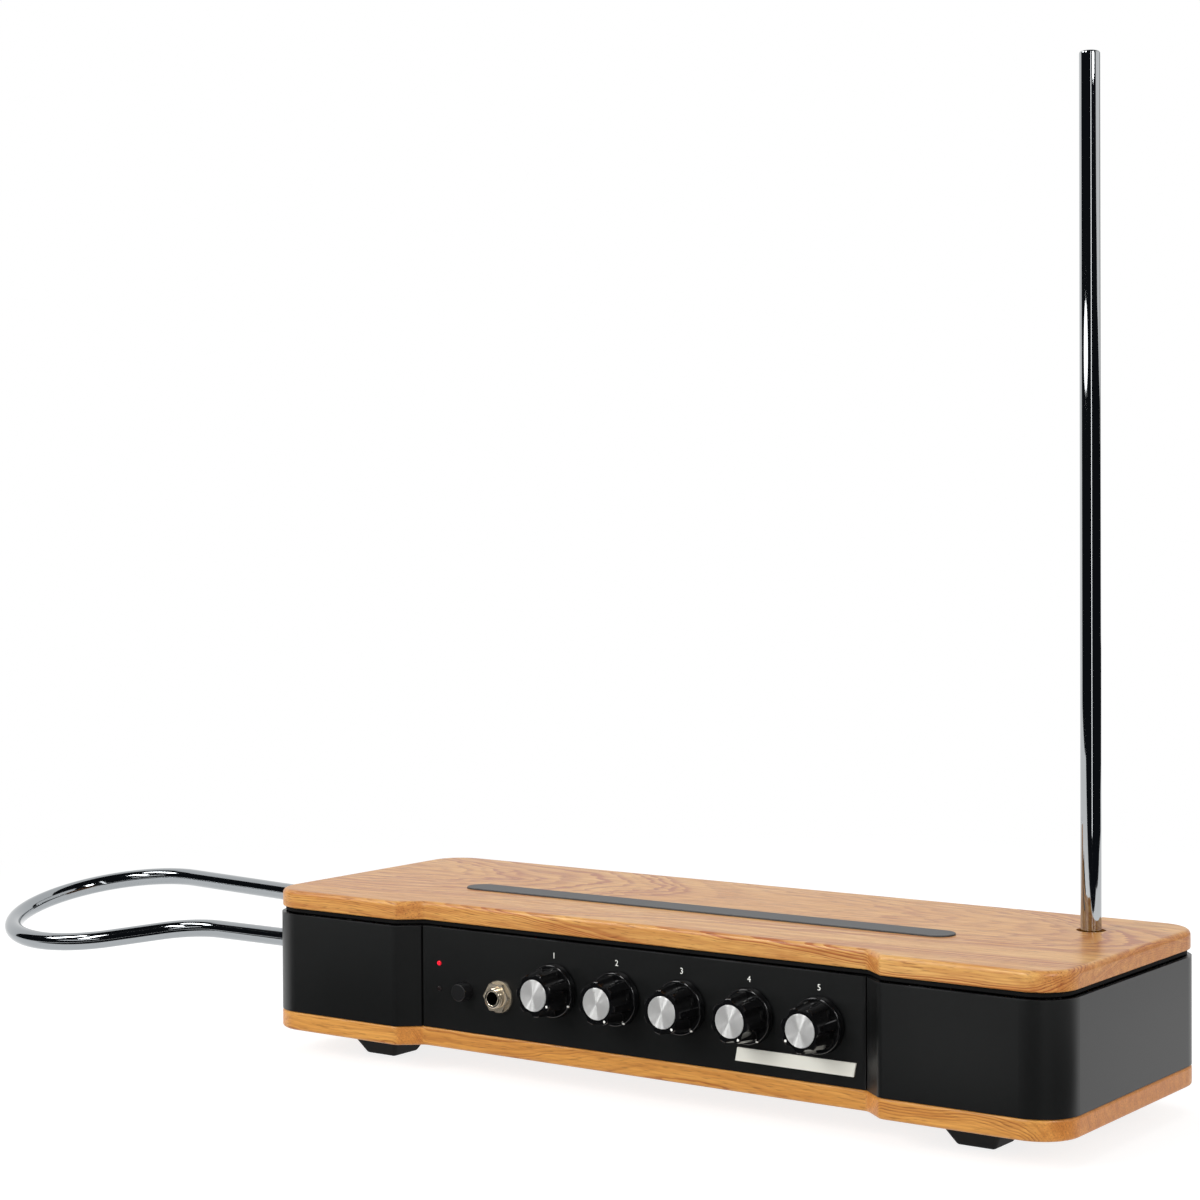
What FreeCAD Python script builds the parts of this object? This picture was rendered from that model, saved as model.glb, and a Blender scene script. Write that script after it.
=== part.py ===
"""Desktop theremin: a wooden sandwich case with two antennas, as separate parts.

The origin is the mouth of the stand thread in the middle of the base board's underside. +Z is up,
the control panel faces -Y and the volume loop leaves the -X end. Millimetres and degrees.
"""
import FreeCAD, Part
import math
import os
import re

import Sketcher
from FreeCAD import Placement, Rotation, Vector

SIZES = {
    # Case
    "body_len": 444.5,
    "body_depth": 152.4,
    "corner_radius": 19.0,
    "recess_depth": 9.2,
    "recess_half": 125.3,
    "recess_angle": 39.0,
    "bend_radius": 5.0,
    "bend_least": 0.6,
    "base_thick": 9.6,
    "lid_thick": 9.0,
    "lid_inset": 0.5,
    "lid_arris": 2.6,
    "lid_under_arris": 0.8,
    "base_arris": 1.6,
    "cover_tall": 49.7,
    "reveal": 3.0,
    "groove_tall": 1.0,
    "groove_inset": 5.0,
    "skin": 2.0,
    "lap": 8.0,
    "seam_half": 126.4,
    "seam_gap": 1.0,
    "frame_inset": 2.0,
    "frame_width": 24.2,
    "frame_front_width": 12.7,
    # Inlaid strip on the lid
    "strip_len": 278.4,
    "strip_wide": 16.5,
    "strip_x": 1.1,
    "strip_y": -13.7,
    "strip_thick": 2.0,
    "strip_proud": 0.8,
    "strip_edge": 0.35,
    # Posts and screws
    "post_radius": 5.0,
    "post_end": 14.25,
    "post_end_side": 20.2,
    "post_front_x": 148.0,
    "post_front_side": 16.2,
    "post_rear_x": 135.0,
    "post_rear_side": 18.2,
    "stud_radius": 2.0,
    "stud_long": 6.0,
    "screw_clear": 0.1,
    "case_screw_long": 18.0,
    "head_radius": 4.0,
    "head_tall": 2.4,
    "blind_web": 2.0,
    "end_gap": 0.3,
    # Feet
    "foot_end": 53.0,
    "foot_side": 36.2,
    "foot_tall": 13.0,
    "foot_wide": 33.4,
    "foot_tread": 18.6,
    "foot_round": 2.5,
    "foot_web": 4.0,
    # Stand flange
    "thread_radius": 7.94,
    "boss_radius": 11.0,
    "boss_clear": 0.3,
    "flange_radius": 25.0,
    "flange_thick": 3.0,
    "flange_screw_circle": 18.5,
    "flange_screw_long": 7.0,
    # Controls
    "control_rise": 26.1,
    "knob_first": -44.6,
    "knob_step": 36.6,
    "knob_gap": 0.8,
    "knob_tall": 16.1,
    "skirt_radius": 13.0,
    "skirt_top_radius": 12.5,
    "skirt_tall": 3.2,
    "skirt_edge": 0.8,
    "grip_radius": 12.0,
    "nose_radius": 10.2,
    "nose_edge": 0.8,
    "flute_radius": 5.0,
    "flute_bite": 2.0,
    "cap_radius": 7.5,
    "cap_thick": 1.2,
    "cap_proud": 0.3,
    "cap_edge": 0.25,
    "cap_clear": 0.03,
    "hub_recess_radius": 7.2,
    "hub_recess_deep": 4.6,
    "shaft_radius": 3.0,
    "shaft_clear": 0.05,
    "shaft_out": 13.4,
    "bush_radius": 3.5,
    "bush_out": 4.2,
    "hole_clear": 0.2,
    "pot_wide": 17.0,
    "pot_deep": 8.5,
    "pot_back": 1.0,
    "nut_flats": 10.0,
    "nut_thick": 2.0,
    "board_thick": 1.6,
    "panel_board_tall": 40.0,
    "panel_board_lap": 14.0,
    # Mute button and lamps
    "mute_x": -99.0,
    "mute_rise": 20.1,
    "mute_radius": 4.2,
    "mute_out": 6.1,
    "mute_in": 6.0,
    "mute_travel": 1.5,
    "mute_clear": 0.08,
    "mute_edge": 0.5,
    "mute_body": 13.0,
    "mute_body_deep": 16.0,
    "lamp_x": -115.4,
    "power_lamp_rise": 32.2,
    "mute_lamp_rise": 19.6,
    "lamp_radius": 1.2,
    "lamp_out": 0.7,
    "lamp_dome": 0.6,
    "lamp_flange_radius": 1.8,
    "lamp_deep": 5.0,
    "lamp_clear": 0.1,
    # Quarter inch sockets
    "phones_x": -77.9,
    "phones_rise": 19.5,
    "audio_x": 95.0,
    "rear_rise": 24.0,
    "jack_bore_radius": 3.25,
    "jack_barrel_radius": 4.76,
    "jack_barrel_out": 5.8,
    "jack_body_wide": 16.0,
    "jack_body_tall": 13.0,
    "jack_body_deep": 19.0,
    "jack_back": 2.0,
    "jack_washer_radius": 7.8,
    "jack_washer_thick": 1.0,
    "jack_nut_flats": 13.0,
    "jack_nut_thick": 2.4,
    # Small sockets for control voltage
    "cv_first_x": 22.0,
    "cv_step": 20.0,
    "cv_bore_radius": 1.8,
    "cv_barrel_radius": 3.0,
    "cv_barrel_out": 4.6,
    "cv_body_wide": 9.0,
    "cv_body_deep": 14.0,
    "cv_back": 1.5,
    "cv_nut_radius": 4.0,
    "cv_nut_thick": 2.0,
    # Power inlet and rocker switch
    "inlet_x": -102.0,
    "inlet_bore_radius": 2.85,
    "inlet_bore_deep": 9.5,
    "inlet_pin_radius": 1.0,
    "inlet_pin_root": 1.0,
    "inlet_pin_short": 0.5,
    "inlet_radius": 5.6,
    "inlet_rim_radius": 7.0,
    "inlet_rim_thick": 1.2,
    "inlet_deep": 14.0,
    "switch_x": -68.0,
    "switch_wide": 13.0,
    "switch_tall": 19.0,
    "switch_deep": 17.0,
    "switch_rim": 1.4,
    "switch_rim_out": 1.5,
    "rocker_radius": 9.0,
    "rocker_wide": 9.4,
    "rocker_out": 4.2,
    "rocker_face": 5.4,
    "rocker_vee": 9.0,
    "rocker_clear": 0.3,
    # Nameplate
    "plate_x": 89.2,
    "plate_rise": 8.2,
    "plate_len": 61.6,
    "plate_tall": 6.2,
    "plate_slant": 1.2,
    "plate_thick": 0.8,
    # Antennas
    "rod_radius": 4.7625,
    "tube_wall": 1.2,
    "rod_clear": 0.04,
    "rod_end": 37.9,
    "rod_back": 40.5,
    "rod_out": 399.4,
    "rod_hole_radius": 6.75,
    "rod_tip_round": 1.2,
    "rod_tip_thick": 3.6,
    "socket_wall": 1.8,
    "socket_floor": 3.0,
    "socket_tall": 40.0,
    "socket_flange_radius": 11.0,
    "loop_rise": 33.4,
    "loop_tilt": 10.5,
    "leg_half": 32.2,
    "leg_out": 76.4,
    "neck_radius": 50.0,
    "near_angle": 42.0,
    "far_angle": 4.3,
    "flare_len": 27.5,
    "loop_hole_clear": 0.9,
    "loop_socket_len": 34.0,
    "loop_socket_back": 3.0,
    "bracket_base": 3.0,
    "bracket_cheek": 4.0,
    "bracket_edge": 3.0,
    "bracket_len": 26.0,
    "seat_clear": 0.05,
    # Circuit boards and coils
    "board_len": 300.0,
    "board_wide": 92.0,
    "standoff_tall": 8.0,
    "standoff_radius": 3.0,
    "standoff_inset": 6.0,
    "peg_out": 1.5,
    "chip_len": 16.0,
    "chip_wide": 7.0,
    "chip_tall": 2.5,
    "chip_step": 34.0,
    "coil_radius": 7.0,
    "coil_rim": 1.0,
    "coil_flange": 1.5,
    "coil_tall": 15.0,
    "coil_step": 18.0,
    "coil_end": 28.0,
    "coil_y": 20.0,
    "lead_radius": 0.8,
    "lead_bend": 3.0,
    "pitch_lead_rise": 10.0,
    "volume_lead_rise": 18.0,
}

# Cosine above which an edge counts as parallel to an axis, and the distance at which points count as one
ALONG = 0.999
TOUCH = 1e-3

CONTROLS = ("phones", "volume", "pitch", "wave", "tone")
# Each pointer's angle, clockwise from the top
POINTERS = {"phones": 120.0, "volume": 150.0, "pitch": 143.0, "wave": 150.0, "tone": -125.0}
FLUTES = 7
CV_SOCKETS = 3
CHIP_COLUMNS, CHIP_LINES = 4, 2
COILS = 2

# Levels and faces, as expressions of the sizes
COVER_TOP = "base_thick + cover_tall"
LID_FLOOR = COVER_TOP + " + reveal"
LID_TOP = LID_FLOOR + " + lid_thick"
PANEL_FACE = "recess_depth - body_depth / 2"
PANEL_BACK = PANEL_FACE + " + skin"
REAR_FACE = "body_depth / 2"
REAR_BACK = REAR_FACE + " - skin"
ROD_X = "body_len / 2 - rod_end"
ROD_Y = "body_depth / 2 - rod_back"
COIL_X = "(board_len / 2 - coil_end)"
BOARD_FLOOR = "base_thick + standoff_tall"
BOARD_TOP = BOARD_FLOOR + " + board_thick"
SOCKET_RADIUS = "rod_radius + rod_clear + socket_wall"
STUD_HOLE = "stud_radius + screw_clear"

# A cylinder's own axis turned to each way
UP = Rotation()
DOWN = Rotation(Vector(1, 0, 0), 180)
FRONT = Rotation(Vector(1, 0, 0), 90)
BACK = Rotation(Vector(1, 0, 0), -90)
LEFT = Rotation(Vector(0, 1, 0), -90)
RIGHT = Rotation(Vector(0, 1, 0), 90)

doc = FreeCAD.newDocument("theremin")
sheet = doc.addObject("Spreadsheet::Sheet", "Sizes")
for row, (alias, number) in enumerate(SIZES.items(), 1):
    sheet.set("A%d" % row, alias)
    sheet.set("B%d" % row, str(number))
    sheet.setAlias("B%d" % row, alias)
doc.recompute()

nodes = []


def sized(text):
    """An expression with the sheet's name put before each alias."""

    def cell(match):
        word = match.group()
        return "Sizes." + word if word in SIZES else word

    return re.sub(r"[a-z][a-z_0-9]*", cell, text)


def size(alias):
    return float(sheet.get(alias))


def value(text):
    """What an expression of the sizes comes to."""
    return float(sheet.evalExpression(sized(text)))


def bind(obj, **expressions):
    for prop, text in expressions.items():
        obj.setExpression(prop, sized(text))
    return obj


def place(obj, x="0", y="0", z="0", turn=UP):
    obj.Placement = Placement(Vector(), turn)
    for axis, text in (("x", x), ("y", y), ("z", z)):
        obj.setExpression("Placement.Base." + axis, sized(text))
    return obj


def node(obj, label):
    """Name a finished sub-part. The label is its file's name."""
    obj.Label = label
    nodes.append(obj)
    return obj


# Plain solids


def box(name, length, width, height, x="0", y="0", z="0"):
    """A box whose x and y are its middle and z its floor."""
    obj = doc.addObject("Part::Box", name)
    bind(obj, Length=length, Width=width, Height=height)
    return place(obj, "%s - (%s) / 2" % (x, length), "%s - (%s) / 2" % (y, width), z)


def rod(name, radius, height, x="0", y="0", z="0", turn=UP):
    obj = doc.addObject("Part::Cylinder", name)
    bind(obj, Radius=radius, Height=height)
    return place(obj, x, y, z, turn)


def hexagon(name, flats, height, x="0", y="0", z="0", turn=UP):
    obj = doc.addObject("Part::Prism", name)
    obj.Polygon = 6
    bind(obj, Circumradius="(%s) / sqrt(3)" % flats, Height=height)
    return place(obj, x, y, z, turn)


def fuse(name, shapes):
    obj = doc.addObject("Part::MultiFuse", name)
    obj.Shapes = shapes
    obj.Refine = True
    return obj


def cut(name, base, tools):
    obj = doc.addObject("Part::Cut", name)
    obj.Base = base
    obj.Tool = tools[0] if len(tools) == 1 else fuse(name + "_tools", tools)
    return obj


def common(name, base, tool):
    obj = doc.addObject("Part::Common", name)
    obj.Base = base
    obj.Tool = tool
    return obj


def group(name, shapes):
    obj = doc.addObject("Part::Compound", name)
    obj.Links = shapes
    return obj


def edges_where(shape, test):
    """The numbers of the shape's edges that pass the test."""
    return [number for number, edge in enumerate(shape.Edges, 1) if test(edge)]


def is_straight(edge, axis):
    """True for a straight edge along the named axis."""
    if not isinstance(edge.Curve, Part.Line):
        return False
    return abs(getattr(edge.tangentAt(edge.FirstParameter), axis)) > ALONG


def is_level(edge, height):
    """True for an edge that lies at the given height all along."""
    return all(abs(z - height) < TOUCH for z in (edge.BoundBox.ZMin, edge.BoundBox.ZMax))


def rounded(name, base, radius, test):
    """Part fillet of one size on the edges that pass the test."""
    doc.recompute()
    obj = doc.addObject("Part::Fillet", name)
    obj.Base = base
    obj.Edges = [(number, size(radius), size(radius)) for number in edges_where(base.Shape, test)]
    return obj


def soft_top(name, base, radius):
    """Round the highest edges of a solid."""
    doc.recompute()
    top = base.Shape.BoundBox.ZMax
    return rounded(name, base, radius, lambda e: is_level(e, top))


# Outlines and pads


def sketch_polygon(body, name, corners):
    """A closed sketch whose corners are held by their distances from the origin."""
    sketch = body.newObject("Sketcher::SketchObject", name)
    plane = [f for f in body.Origin.OriginFeatures if f.Role == "XY_Plane"][0]
    sketch.AttachmentSupport = [(plane, "")]
    sketch.MapMode = "FlatFace"
    count = len(corners)
    turns = [2 * math.pi * i / count for i in range(count)]
    start = [Vector(math.cos(turn), math.sin(turn), 0) for turn in turns]
    for i in range(count):
        sketch.addGeometry(Part.LineSegment(start[i], start[(i + 1) % count]), False)
    for i in range(count):
        sketch.addConstraint(Sketcher.Constraint("Coincident", i, 2, (i + 1) % count, 1))
    for i, (x, y) in enumerate(corners):
        for kind, text, value in (("DistanceX", x, start[i].x), ("DistanceY", y, start[i].y)):
            index = sketch.addConstraint(Sketcher.Constraint(kind, -1, 1, i, 1, value))
            sketch.setExpression("Constraints[%d]" % index, sized(text))
    return sketch


def pad_polygon(name, corners, height):
    body = doc.addObject("PartDesign::Body", name)
    sketch = sketch_polygon(body, name + "_sketch", corners)
    pad = body.newObject("PartDesign::Pad", name + "_pad")
    pad.Profile = sketch
    pad.setExpression("Length", sized(height))
    doc.recompute()
    return body, pad


def fillet_body(body, last, radius, test):
    """Round the body's edges that pass the test, on top of its last feature."""
    doc.recompute()
    names = ["Edge%d" % number for number in edges_where(last.Shape, test)]
    fillet = body.newObject("PartDesign::Fillet", body.Name + "_round%d" % len(body.Group))
    fillet.Base = (last, names)
    fillet.setExpression("Radius", sized(radius))
    doc.recompute()
    return fillet


def case_slab(name, inset, height, floor, top_arris=None, under_arris=None):
    """A slab of the case's outline, moved in by the inset: round ends and a recess along the front."""
    side = "body_len / 2 - (%s)" % inset
    front = "body_depth / 2 - (%s)" % inset
    shift = "(%s) * tan(recess_angle / 2 * 1deg)" % inset
    inner = "recess_half + " + shift
    outer = "recess_half + recess_depth / tan(recess_angle * 1deg) + " + shift
    recess = "recess_depth - body_depth / 2 + (%s)" % inset
    corners = [
        (side, front),
        ("-(%s)" % side, front),
        ("-(%s)" % side, "-(%s)" % front),
        ("-(%s)" % outer, "-(%s)" % front),
        ("-(%s)" % inner, recess),
        (inner, recess),
        (outer, "-(%s)" % front),
        (side, "-(%s)" % front),
    ]
    body, last = pad_polygon(name, corners, height)
    reach = last.Shape.BoundBox.XMax - TOUCH
    last = fillet_body(body, last, "corner_radius - (%s)" % inset,
                       lambda e: is_straight(e, "z") and abs(e.Vertexes[0].X) > reach)
    last = fillet_body(body, last, "max(bend_radius - (%s); bend_least)" % inset,
                       lambda e: is_bend(e, last.Shape.BoundBox.YMin, outer_corner=True))
    last = fillet_body(body, last, "bend_radius + (%s)" % inset,
                       lambda e: is_bend(e, last.Shape.BoundBox.YMin, outer_corner=False))
    if top_arris:
        last = fillet_body(body, last, top_arris, lambda e: is_level(e, last.Shape.BoundBox.ZMax))
        last = fillet_body(body, last, under_arris, lambda e: is_level(e, 0))
    return place(body, z=floor)


def is_bend(edge, front, outer_corner):
    """True for an upright edge at one end of the front recess's slopes."""
    if not is_straight(edge, "z"):
        return False
    point = edge.Vertexes[0].Point
    if abs(point.x) > size("body_len") / 2 - size("corner_radius") - TOUCH or point.y > 0:
        return False
    line = front if outer_corner else front + size("recess_depth")
    return abs(point.y - line) < TOUCH


# Case


def make_posts():
    """Posts between the boards. A stud on each goes through the frame into the lid."""
    spots = []
    for side in ("-1", "1"):
        for way in ("-1", "1"):
            spots.append((side + " * (body_len / 2 - post_end)", way + " * (body_depth / 2 - post_end_side)"))
        spots.append((side + " * post_front_x", "post_front_side - body_depth / 2"))
        spots.append((side + " * post_rear_x", "body_depth / 2 - post_rear_side"))
    return spots


POSTS = make_posts()


def make_base_board():
    slab = case_slab("base_slab", "0", "base_thick", "0", "base_arris", "base_arris")
    tools = [rod("base_boss_hole", "boss_radius + boss_clear", "base_thick")]
    for i, (x, y) in enumerate(POSTS):
        tools.append(rod("base_post_hole%d" % i, STUD_HOLE, "base_thick", x, y))
        tools.append(rod("base_post_sink%d" % i, "head_radius + screw_clear", "head_tall", x, y))
    for i, (x, y) in enumerate(foot_spots()):
        tools.append(rod("base_foot_hole%d" % i, STUD_HOLE, "base_thick - blind_web", x, y))
    depth = "flange_screw_long - flange_thick + end_gap"
    for i, (x, y) in enumerate(flange_screw_spots()):
        tools.append(rod("base_flange_hole%d" % i, STUD_HOLE, depth, x, y, "base_thick - (%s)" % depth))
    node(cut("base_board", slab, tools), "bottom_board")


def make_lid_board():
    slab = case_slab("lid_slab", "lid_inset", "lid_thick", LID_FLOOR, "lid_arris", "lid_under_arris")
    tools = [
        rod("lid_rod_hole", "rod_hole_radius", "lid_thick", ROD_X, ROD_Y, LID_FLOOR),
        stadium("lid_seat", "strip_thick - strip_proud"),
    ]
    for i, (x, y) in enumerate(POSTS):
        tools.append(rod("lid_stud_hole%d" % i, STUD_HOLE, "stud_long - reveal + end_gap", x, y, LID_FLOOR))
    node(cut("lid_board", slab, tools), "top_board")


def stadium(name, height):
    """A bar with round ends, as long and wide as the strip and on the strip's seat."""
    floor = LID_TOP + " - strip_thick + strip_proud"
    half = "(strip_len - strip_wide) / 2"
    return fuse(name, [
        box(name + "_bar", "strip_len - strip_wide", "strip_wide", height, "strip_x", "strip_y", floor),
        rod(name + "_left", "strip_wide / 2", height, "strip_x - (%s)" % half, "strip_y", floor),
        rod(name + "_right", "strip_wide / 2", height, "strip_x + (%s)" % half, "strip_y", floor),
    ])


def make_strip():
    node(soft_top("strip_soft", stadium("strip_bar", "strip_thick"), "strip_edge"), "top_strip")


def make_upper_frame():
    """A plate under the lid on a narrower neck, so that a groove runs round between it and the covers."""
    plate = case_slab("frame_plate", "frame_inset", "reveal - groove_tall", COVER_TOP + " + groove_tall")
    neck = case_slab("frame_neck", "groove_inset", "groove_tall", COVER_TOP)
    inner_side = "body_len / 2 - frame_inset - frame_width"
    inner_front = "body_depth / 2 - recess_depth - frame_inset - frame_front_width"
    inner_back = "body_depth / 2 - frame_inset - frame_width"
    tools = [box("frame_window", "2 * (%s)" % inner_side, "%s + %s" % (inner_front, inner_back), "reveal",
                 y="((%s) - (%s)) / 2" % (inner_back, inner_front), z=COVER_TOP)]
    for i, (x, y) in enumerate(POSTS):
        tools.append(rod("frame_hole%d" % i, STUD_HOLE, "reveal", x, y, COVER_TOP))
    node(cut("frame_ring", fuse("frame_step", [plate, neck]), tools), "upper_frame")


def skin_ring(name, inset):
    """The upright wall between the boards, one skin thick, its outside moved in by the inset."""
    outer = case_slab(name + "_out", inset, "cover_tall", "base_thick")
    inner = case_slab(name + "_in", inset + " + skin", "cover_tall", "base_thick")
    return cut(name, outer, [inner])


def make_cover(label, side):
    """A bent cover round one end, with a lap behind each panel."""
    end_len = "body_len / 2 - seam_half"
    middle = "%s * (seam_half + (%s) / 2)" % (side, end_len)
    end = box(label + "_end", end_len, "body_depth", "cover_tall", middle, z="base_thick")
    lap_x = side + " * seam_half"
    lap_zone = box(label + "_lap_zone", "2 * lap", "body_depth", "cover_tall", lap_x, z="base_thick")
    wrap = common(label + "_wrap", skin_ring(label + "_shell", "0"), end)
    laps = common(label + "_tabs", skin_ring(label + "_inner", "skin"), lap_zone)
    cover = fuse(label + "_bent", [wrap, laps])
    if side == "-1":
        holes = []
        for i, way in enumerate(("-1", "1")):
            y, z = leg_spot(way)
            radius = "rod_radius + loop_hole_clear"
            holes.append(rod("leg_hole%d" % i, radius, "skin", "skin - body_len / 2", y, z, LEFT))
        cover = cut(label + "_cut", cover, holes)
    node(cover, label)


def panel_blank(name, front):
    """The wall between the covers' seams, at the front or at the rear. The front one follows the recess."""
    deep = "body_depth / 2"
    zone = box(name + "_zone", "2 * (seam_half - seam_gap)", deep, "cover_tall", "0",
               "%s%s / 2" % ("-" if front else "", deep), "base_thick")
    return common(name, skin_ring(name + "_wall", "0"), zone)


def make_front_panel():
    tools = []

    def hole(name, radius, x, rise):
        tools.append(rod("front_hole_" + name, radius, "skin", x, PANEL_FACE, "base_thick + " + rise, BACK))

    for i, control in enumerate(CONTROLS):
        hole(control, "bush_radius + hole_clear", knob_x(i), "control_rise")
    hole("mute", "mute_radius + 2 * mute_clear", "mute_x", "mute_rise")
    hole("power_lamp", "lamp_radius + lamp_clear", "lamp_x", "power_lamp_rise")
    hole("mute_lamp", "lamp_radius + lamp_clear", "lamp_x", "mute_lamp_rise")
    hole("phones", "jack_barrel_radius + hole_clear", "phones_x", "phones_rise")
    node(cut("front_cut", panel_blank("front_blank", True), tools), "front_panel")


def make_rear_panel():
    tools = []

    def hole(name, radius, x):
        tools.append(rod("rear_hole_" + name, radius, "skin", x, REAR_FACE, "base_thick + rear_rise", FRONT))

    hole("audio", "jack_barrel_radius + hole_clear", "audio_x")
    for i in range(CV_SOCKETS):
        hole("cv%d" % i, "cv_barrel_radius + hole_clear", cv_x(i))
    hole("inlet", "inlet_radius + hole_clear", "inlet_x")
    wide, tall = "switch_wide + 2 * hole_clear", "switch_tall + 2 * hole_clear"
    floor = "base_thick + rear_rise - switch_tall / 2 - hole_clear"
    tools.append(box("rear_hole_switch", wide, "skin", tall, "switch_x", REAR_FACE + " - skin / 2", floor))
    node(cut("rear_cut", panel_blank("rear_blank", False), tools), "rear_panel")


def make_post_group():
    posts, screws = [], []
    for i, (x, y) in enumerate(POSTS):
        shank = fuse("post%d" % i, [
            rod("post_body%d" % i, "post_radius", "cover_tall", x, y, "base_thick"),
            rod("post_stud%d" % i, "stud_radius", "stud_long", x, y, COVER_TOP),
        ])
        bore = rod("post_bore%d" % i, STUD_HOLE, "case_screw_long + screw_clear + end_gap", x, y)
        posts.append(cut("post_cut%d" % i, shank, [bore]))
        screws.append(fuse("case_screw%d" % i, [
            rod("case_head%d" % i, "head_radius", "head_tall - screw_clear", x, y, "screw_clear"),
            rod("case_shank%d" % i, "stud_radius", "case_screw_long", x, y, "screw_clear"),
        ]))
    node(group("posts", posts), "case_posts")
    node(group("screws", screws), "case_screws")


# Feet and stand flange


def foot_spots():
    spots = []
    for side in ("-1", "1"):
        for way in ("-1", "1"):
            spots.append((side + " * (body_len / 2 - foot_end)", way + " * (body_depth / 2 - foot_side)"))
    return spots


def make_feet():
    feet, screws = [], []
    for i, (x, y) in enumerate(foot_spots()):
        block = doc.addObject("Part::Wedge", "foot_block%d" % i)
        for axis in ("X", "Z"):
            bind(block, **{axis + "min": "-foot_tread / 2", axis + "max": "foot_tread / 2",
                           axis + "2min": "-foot_wide / 2", axis + "2max": "foot_wide / 2"})
        bind(block, Ymin="0", Ymax="foot_tall")
        place(block, x, y, "-foot_tall", FRONT)
        soft = rounded("foot_soft%d" % i, block, "foot_round", lambda e: not is_level(e, 0))
        well_radius = "head_radius + 2 * screw_clear"
        well = rod("foot_well%d" % i, well_radius, "foot_tall - foot_web", x, y, "-foot_tall")
        hole = rod("foot_hole%d" % i, STUD_HOLE, "foot_web", x, y, "-foot_web")
        feet.append(cut("foot%d" % i, soft, [well, hole]))
        shank_long = "foot_web + base_thick - blind_web - end_gap"
        screws.append(fuse("foot_screw%d" % i, [
            rod("foot_head%d" % i, "head_radius", "head_tall", x, y, "-foot_web - head_tall"),
            rod("foot_shank%d" % i, "stud_radius", shank_long, x, y, "-foot_web"),
        ]))
    node(group("foot_set", feet), "feet")
    node(group("foot_screw_set", screws), "foot_screws")


def flange_screw_spots():
    spots = []
    for angle in (90, 210, 330):
        spots.append(("flange_screw_circle * cos(%ddeg)" % angle, "flange_screw_circle * sin(%ddeg)" % angle))
    return spots


def make_stand_flange():
    plate = fuse("flange_solid", [
        rod("flange_plate", "flange_radius", "flange_thick", z="base_thick"),
        rod("flange_boss", "boss_radius", "base_thick"),
    ])
    tools = [rod("flange_thread", "thread_radius", "base_thick + flange_thick")]
    screws = []
    for i, (x, y) in enumerate(flange_screw_spots()):
        tools.append(rod("flange_hole%d" % i, STUD_HOLE, "flange_thick", x, y, "base_thick"))
        screws.append(fuse("flange_screw%d" % i, [
            rod("flange_head%d" % i, "head_radius", "head_tall", x, y, "base_thick + flange_thick"),
            rod("flange_shank%d" % i, "stud_radius", "flange_screw_long", x, y,
                "base_thick + flange_thick - flange_screw_long"),
        ]))
    node(cut("flange_cut", plate, tools), "stand_flange")
    node(group("flange_screw_set", screws), "flange_screws")


# Rotary controls


def knob_x(index):
    return "knob_first + %d * knob_step" % index


def make_pots():
    """Pot bodies behind the panel, their threaded bushes through it, and the nuts that hold them."""
    pots, nuts = [], []
    z = "base_thick + control_rise"
    for i in range(len(CONTROLS)):
        x = knob_x(i)
        case = box("pot_case%d" % i, "pot_wide", "pot_deep", "pot_wide", x, PANEL_BACK + " + pot_deep / 2",
                   z + " - pot_wide / 2")
        bush = rod("pot_bush%d" % i, "bush_radius", "skin + bush_out", x, PANEL_BACK, z, FRONT)
        bore = rod("pot_bore%d" % i, "shaft_radius + shaft_clear", "skin + bush_out + pot_deep - pot_back",
                   x, PANEL_BACK + " + pot_deep - pot_back", z, FRONT)
        pots.append(cut("pot%d" % i, fuse("pot_solid%d" % i, [case, bush]), [bore]))
        nut = hexagon("pot_nut%d" % i, "nut_flats", "nut_thick", x, PANEL_FACE, z, FRONT)
        eye = rod("pot_nut_eye%d" % i, "bush_radius + screw_clear", "nut_thick", x, PANEL_FACE, z, FRONT)
        nuts.append(cut("pot_nut_cut%d" % i, nut, [eye]))
    node(group("pot_set", pots), "potentiometers")
    node(group("pot_nut_set", nuts), "pot_nuts")
    last = knob_x(len(CONTROLS) - 1)
    node(box("pot_plate", "(%s) - knob_first + 2 * panel_board_lap" % last, "board_thick", "panel_board_tall",
             "(knob_first + %s) / 2" % last, PANEL_BACK + " + pot_deep + board_thick / 2",
             "base_thick + control_rise - panel_board_tall / 2"), "panel_board")


def taper(name, base_radius, top_radius, height):
    obj = doc.addObject("Part::Cone", name)
    return bind(obj, Radius1=base_radius, Radius2=top_radius, Height=height)


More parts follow.
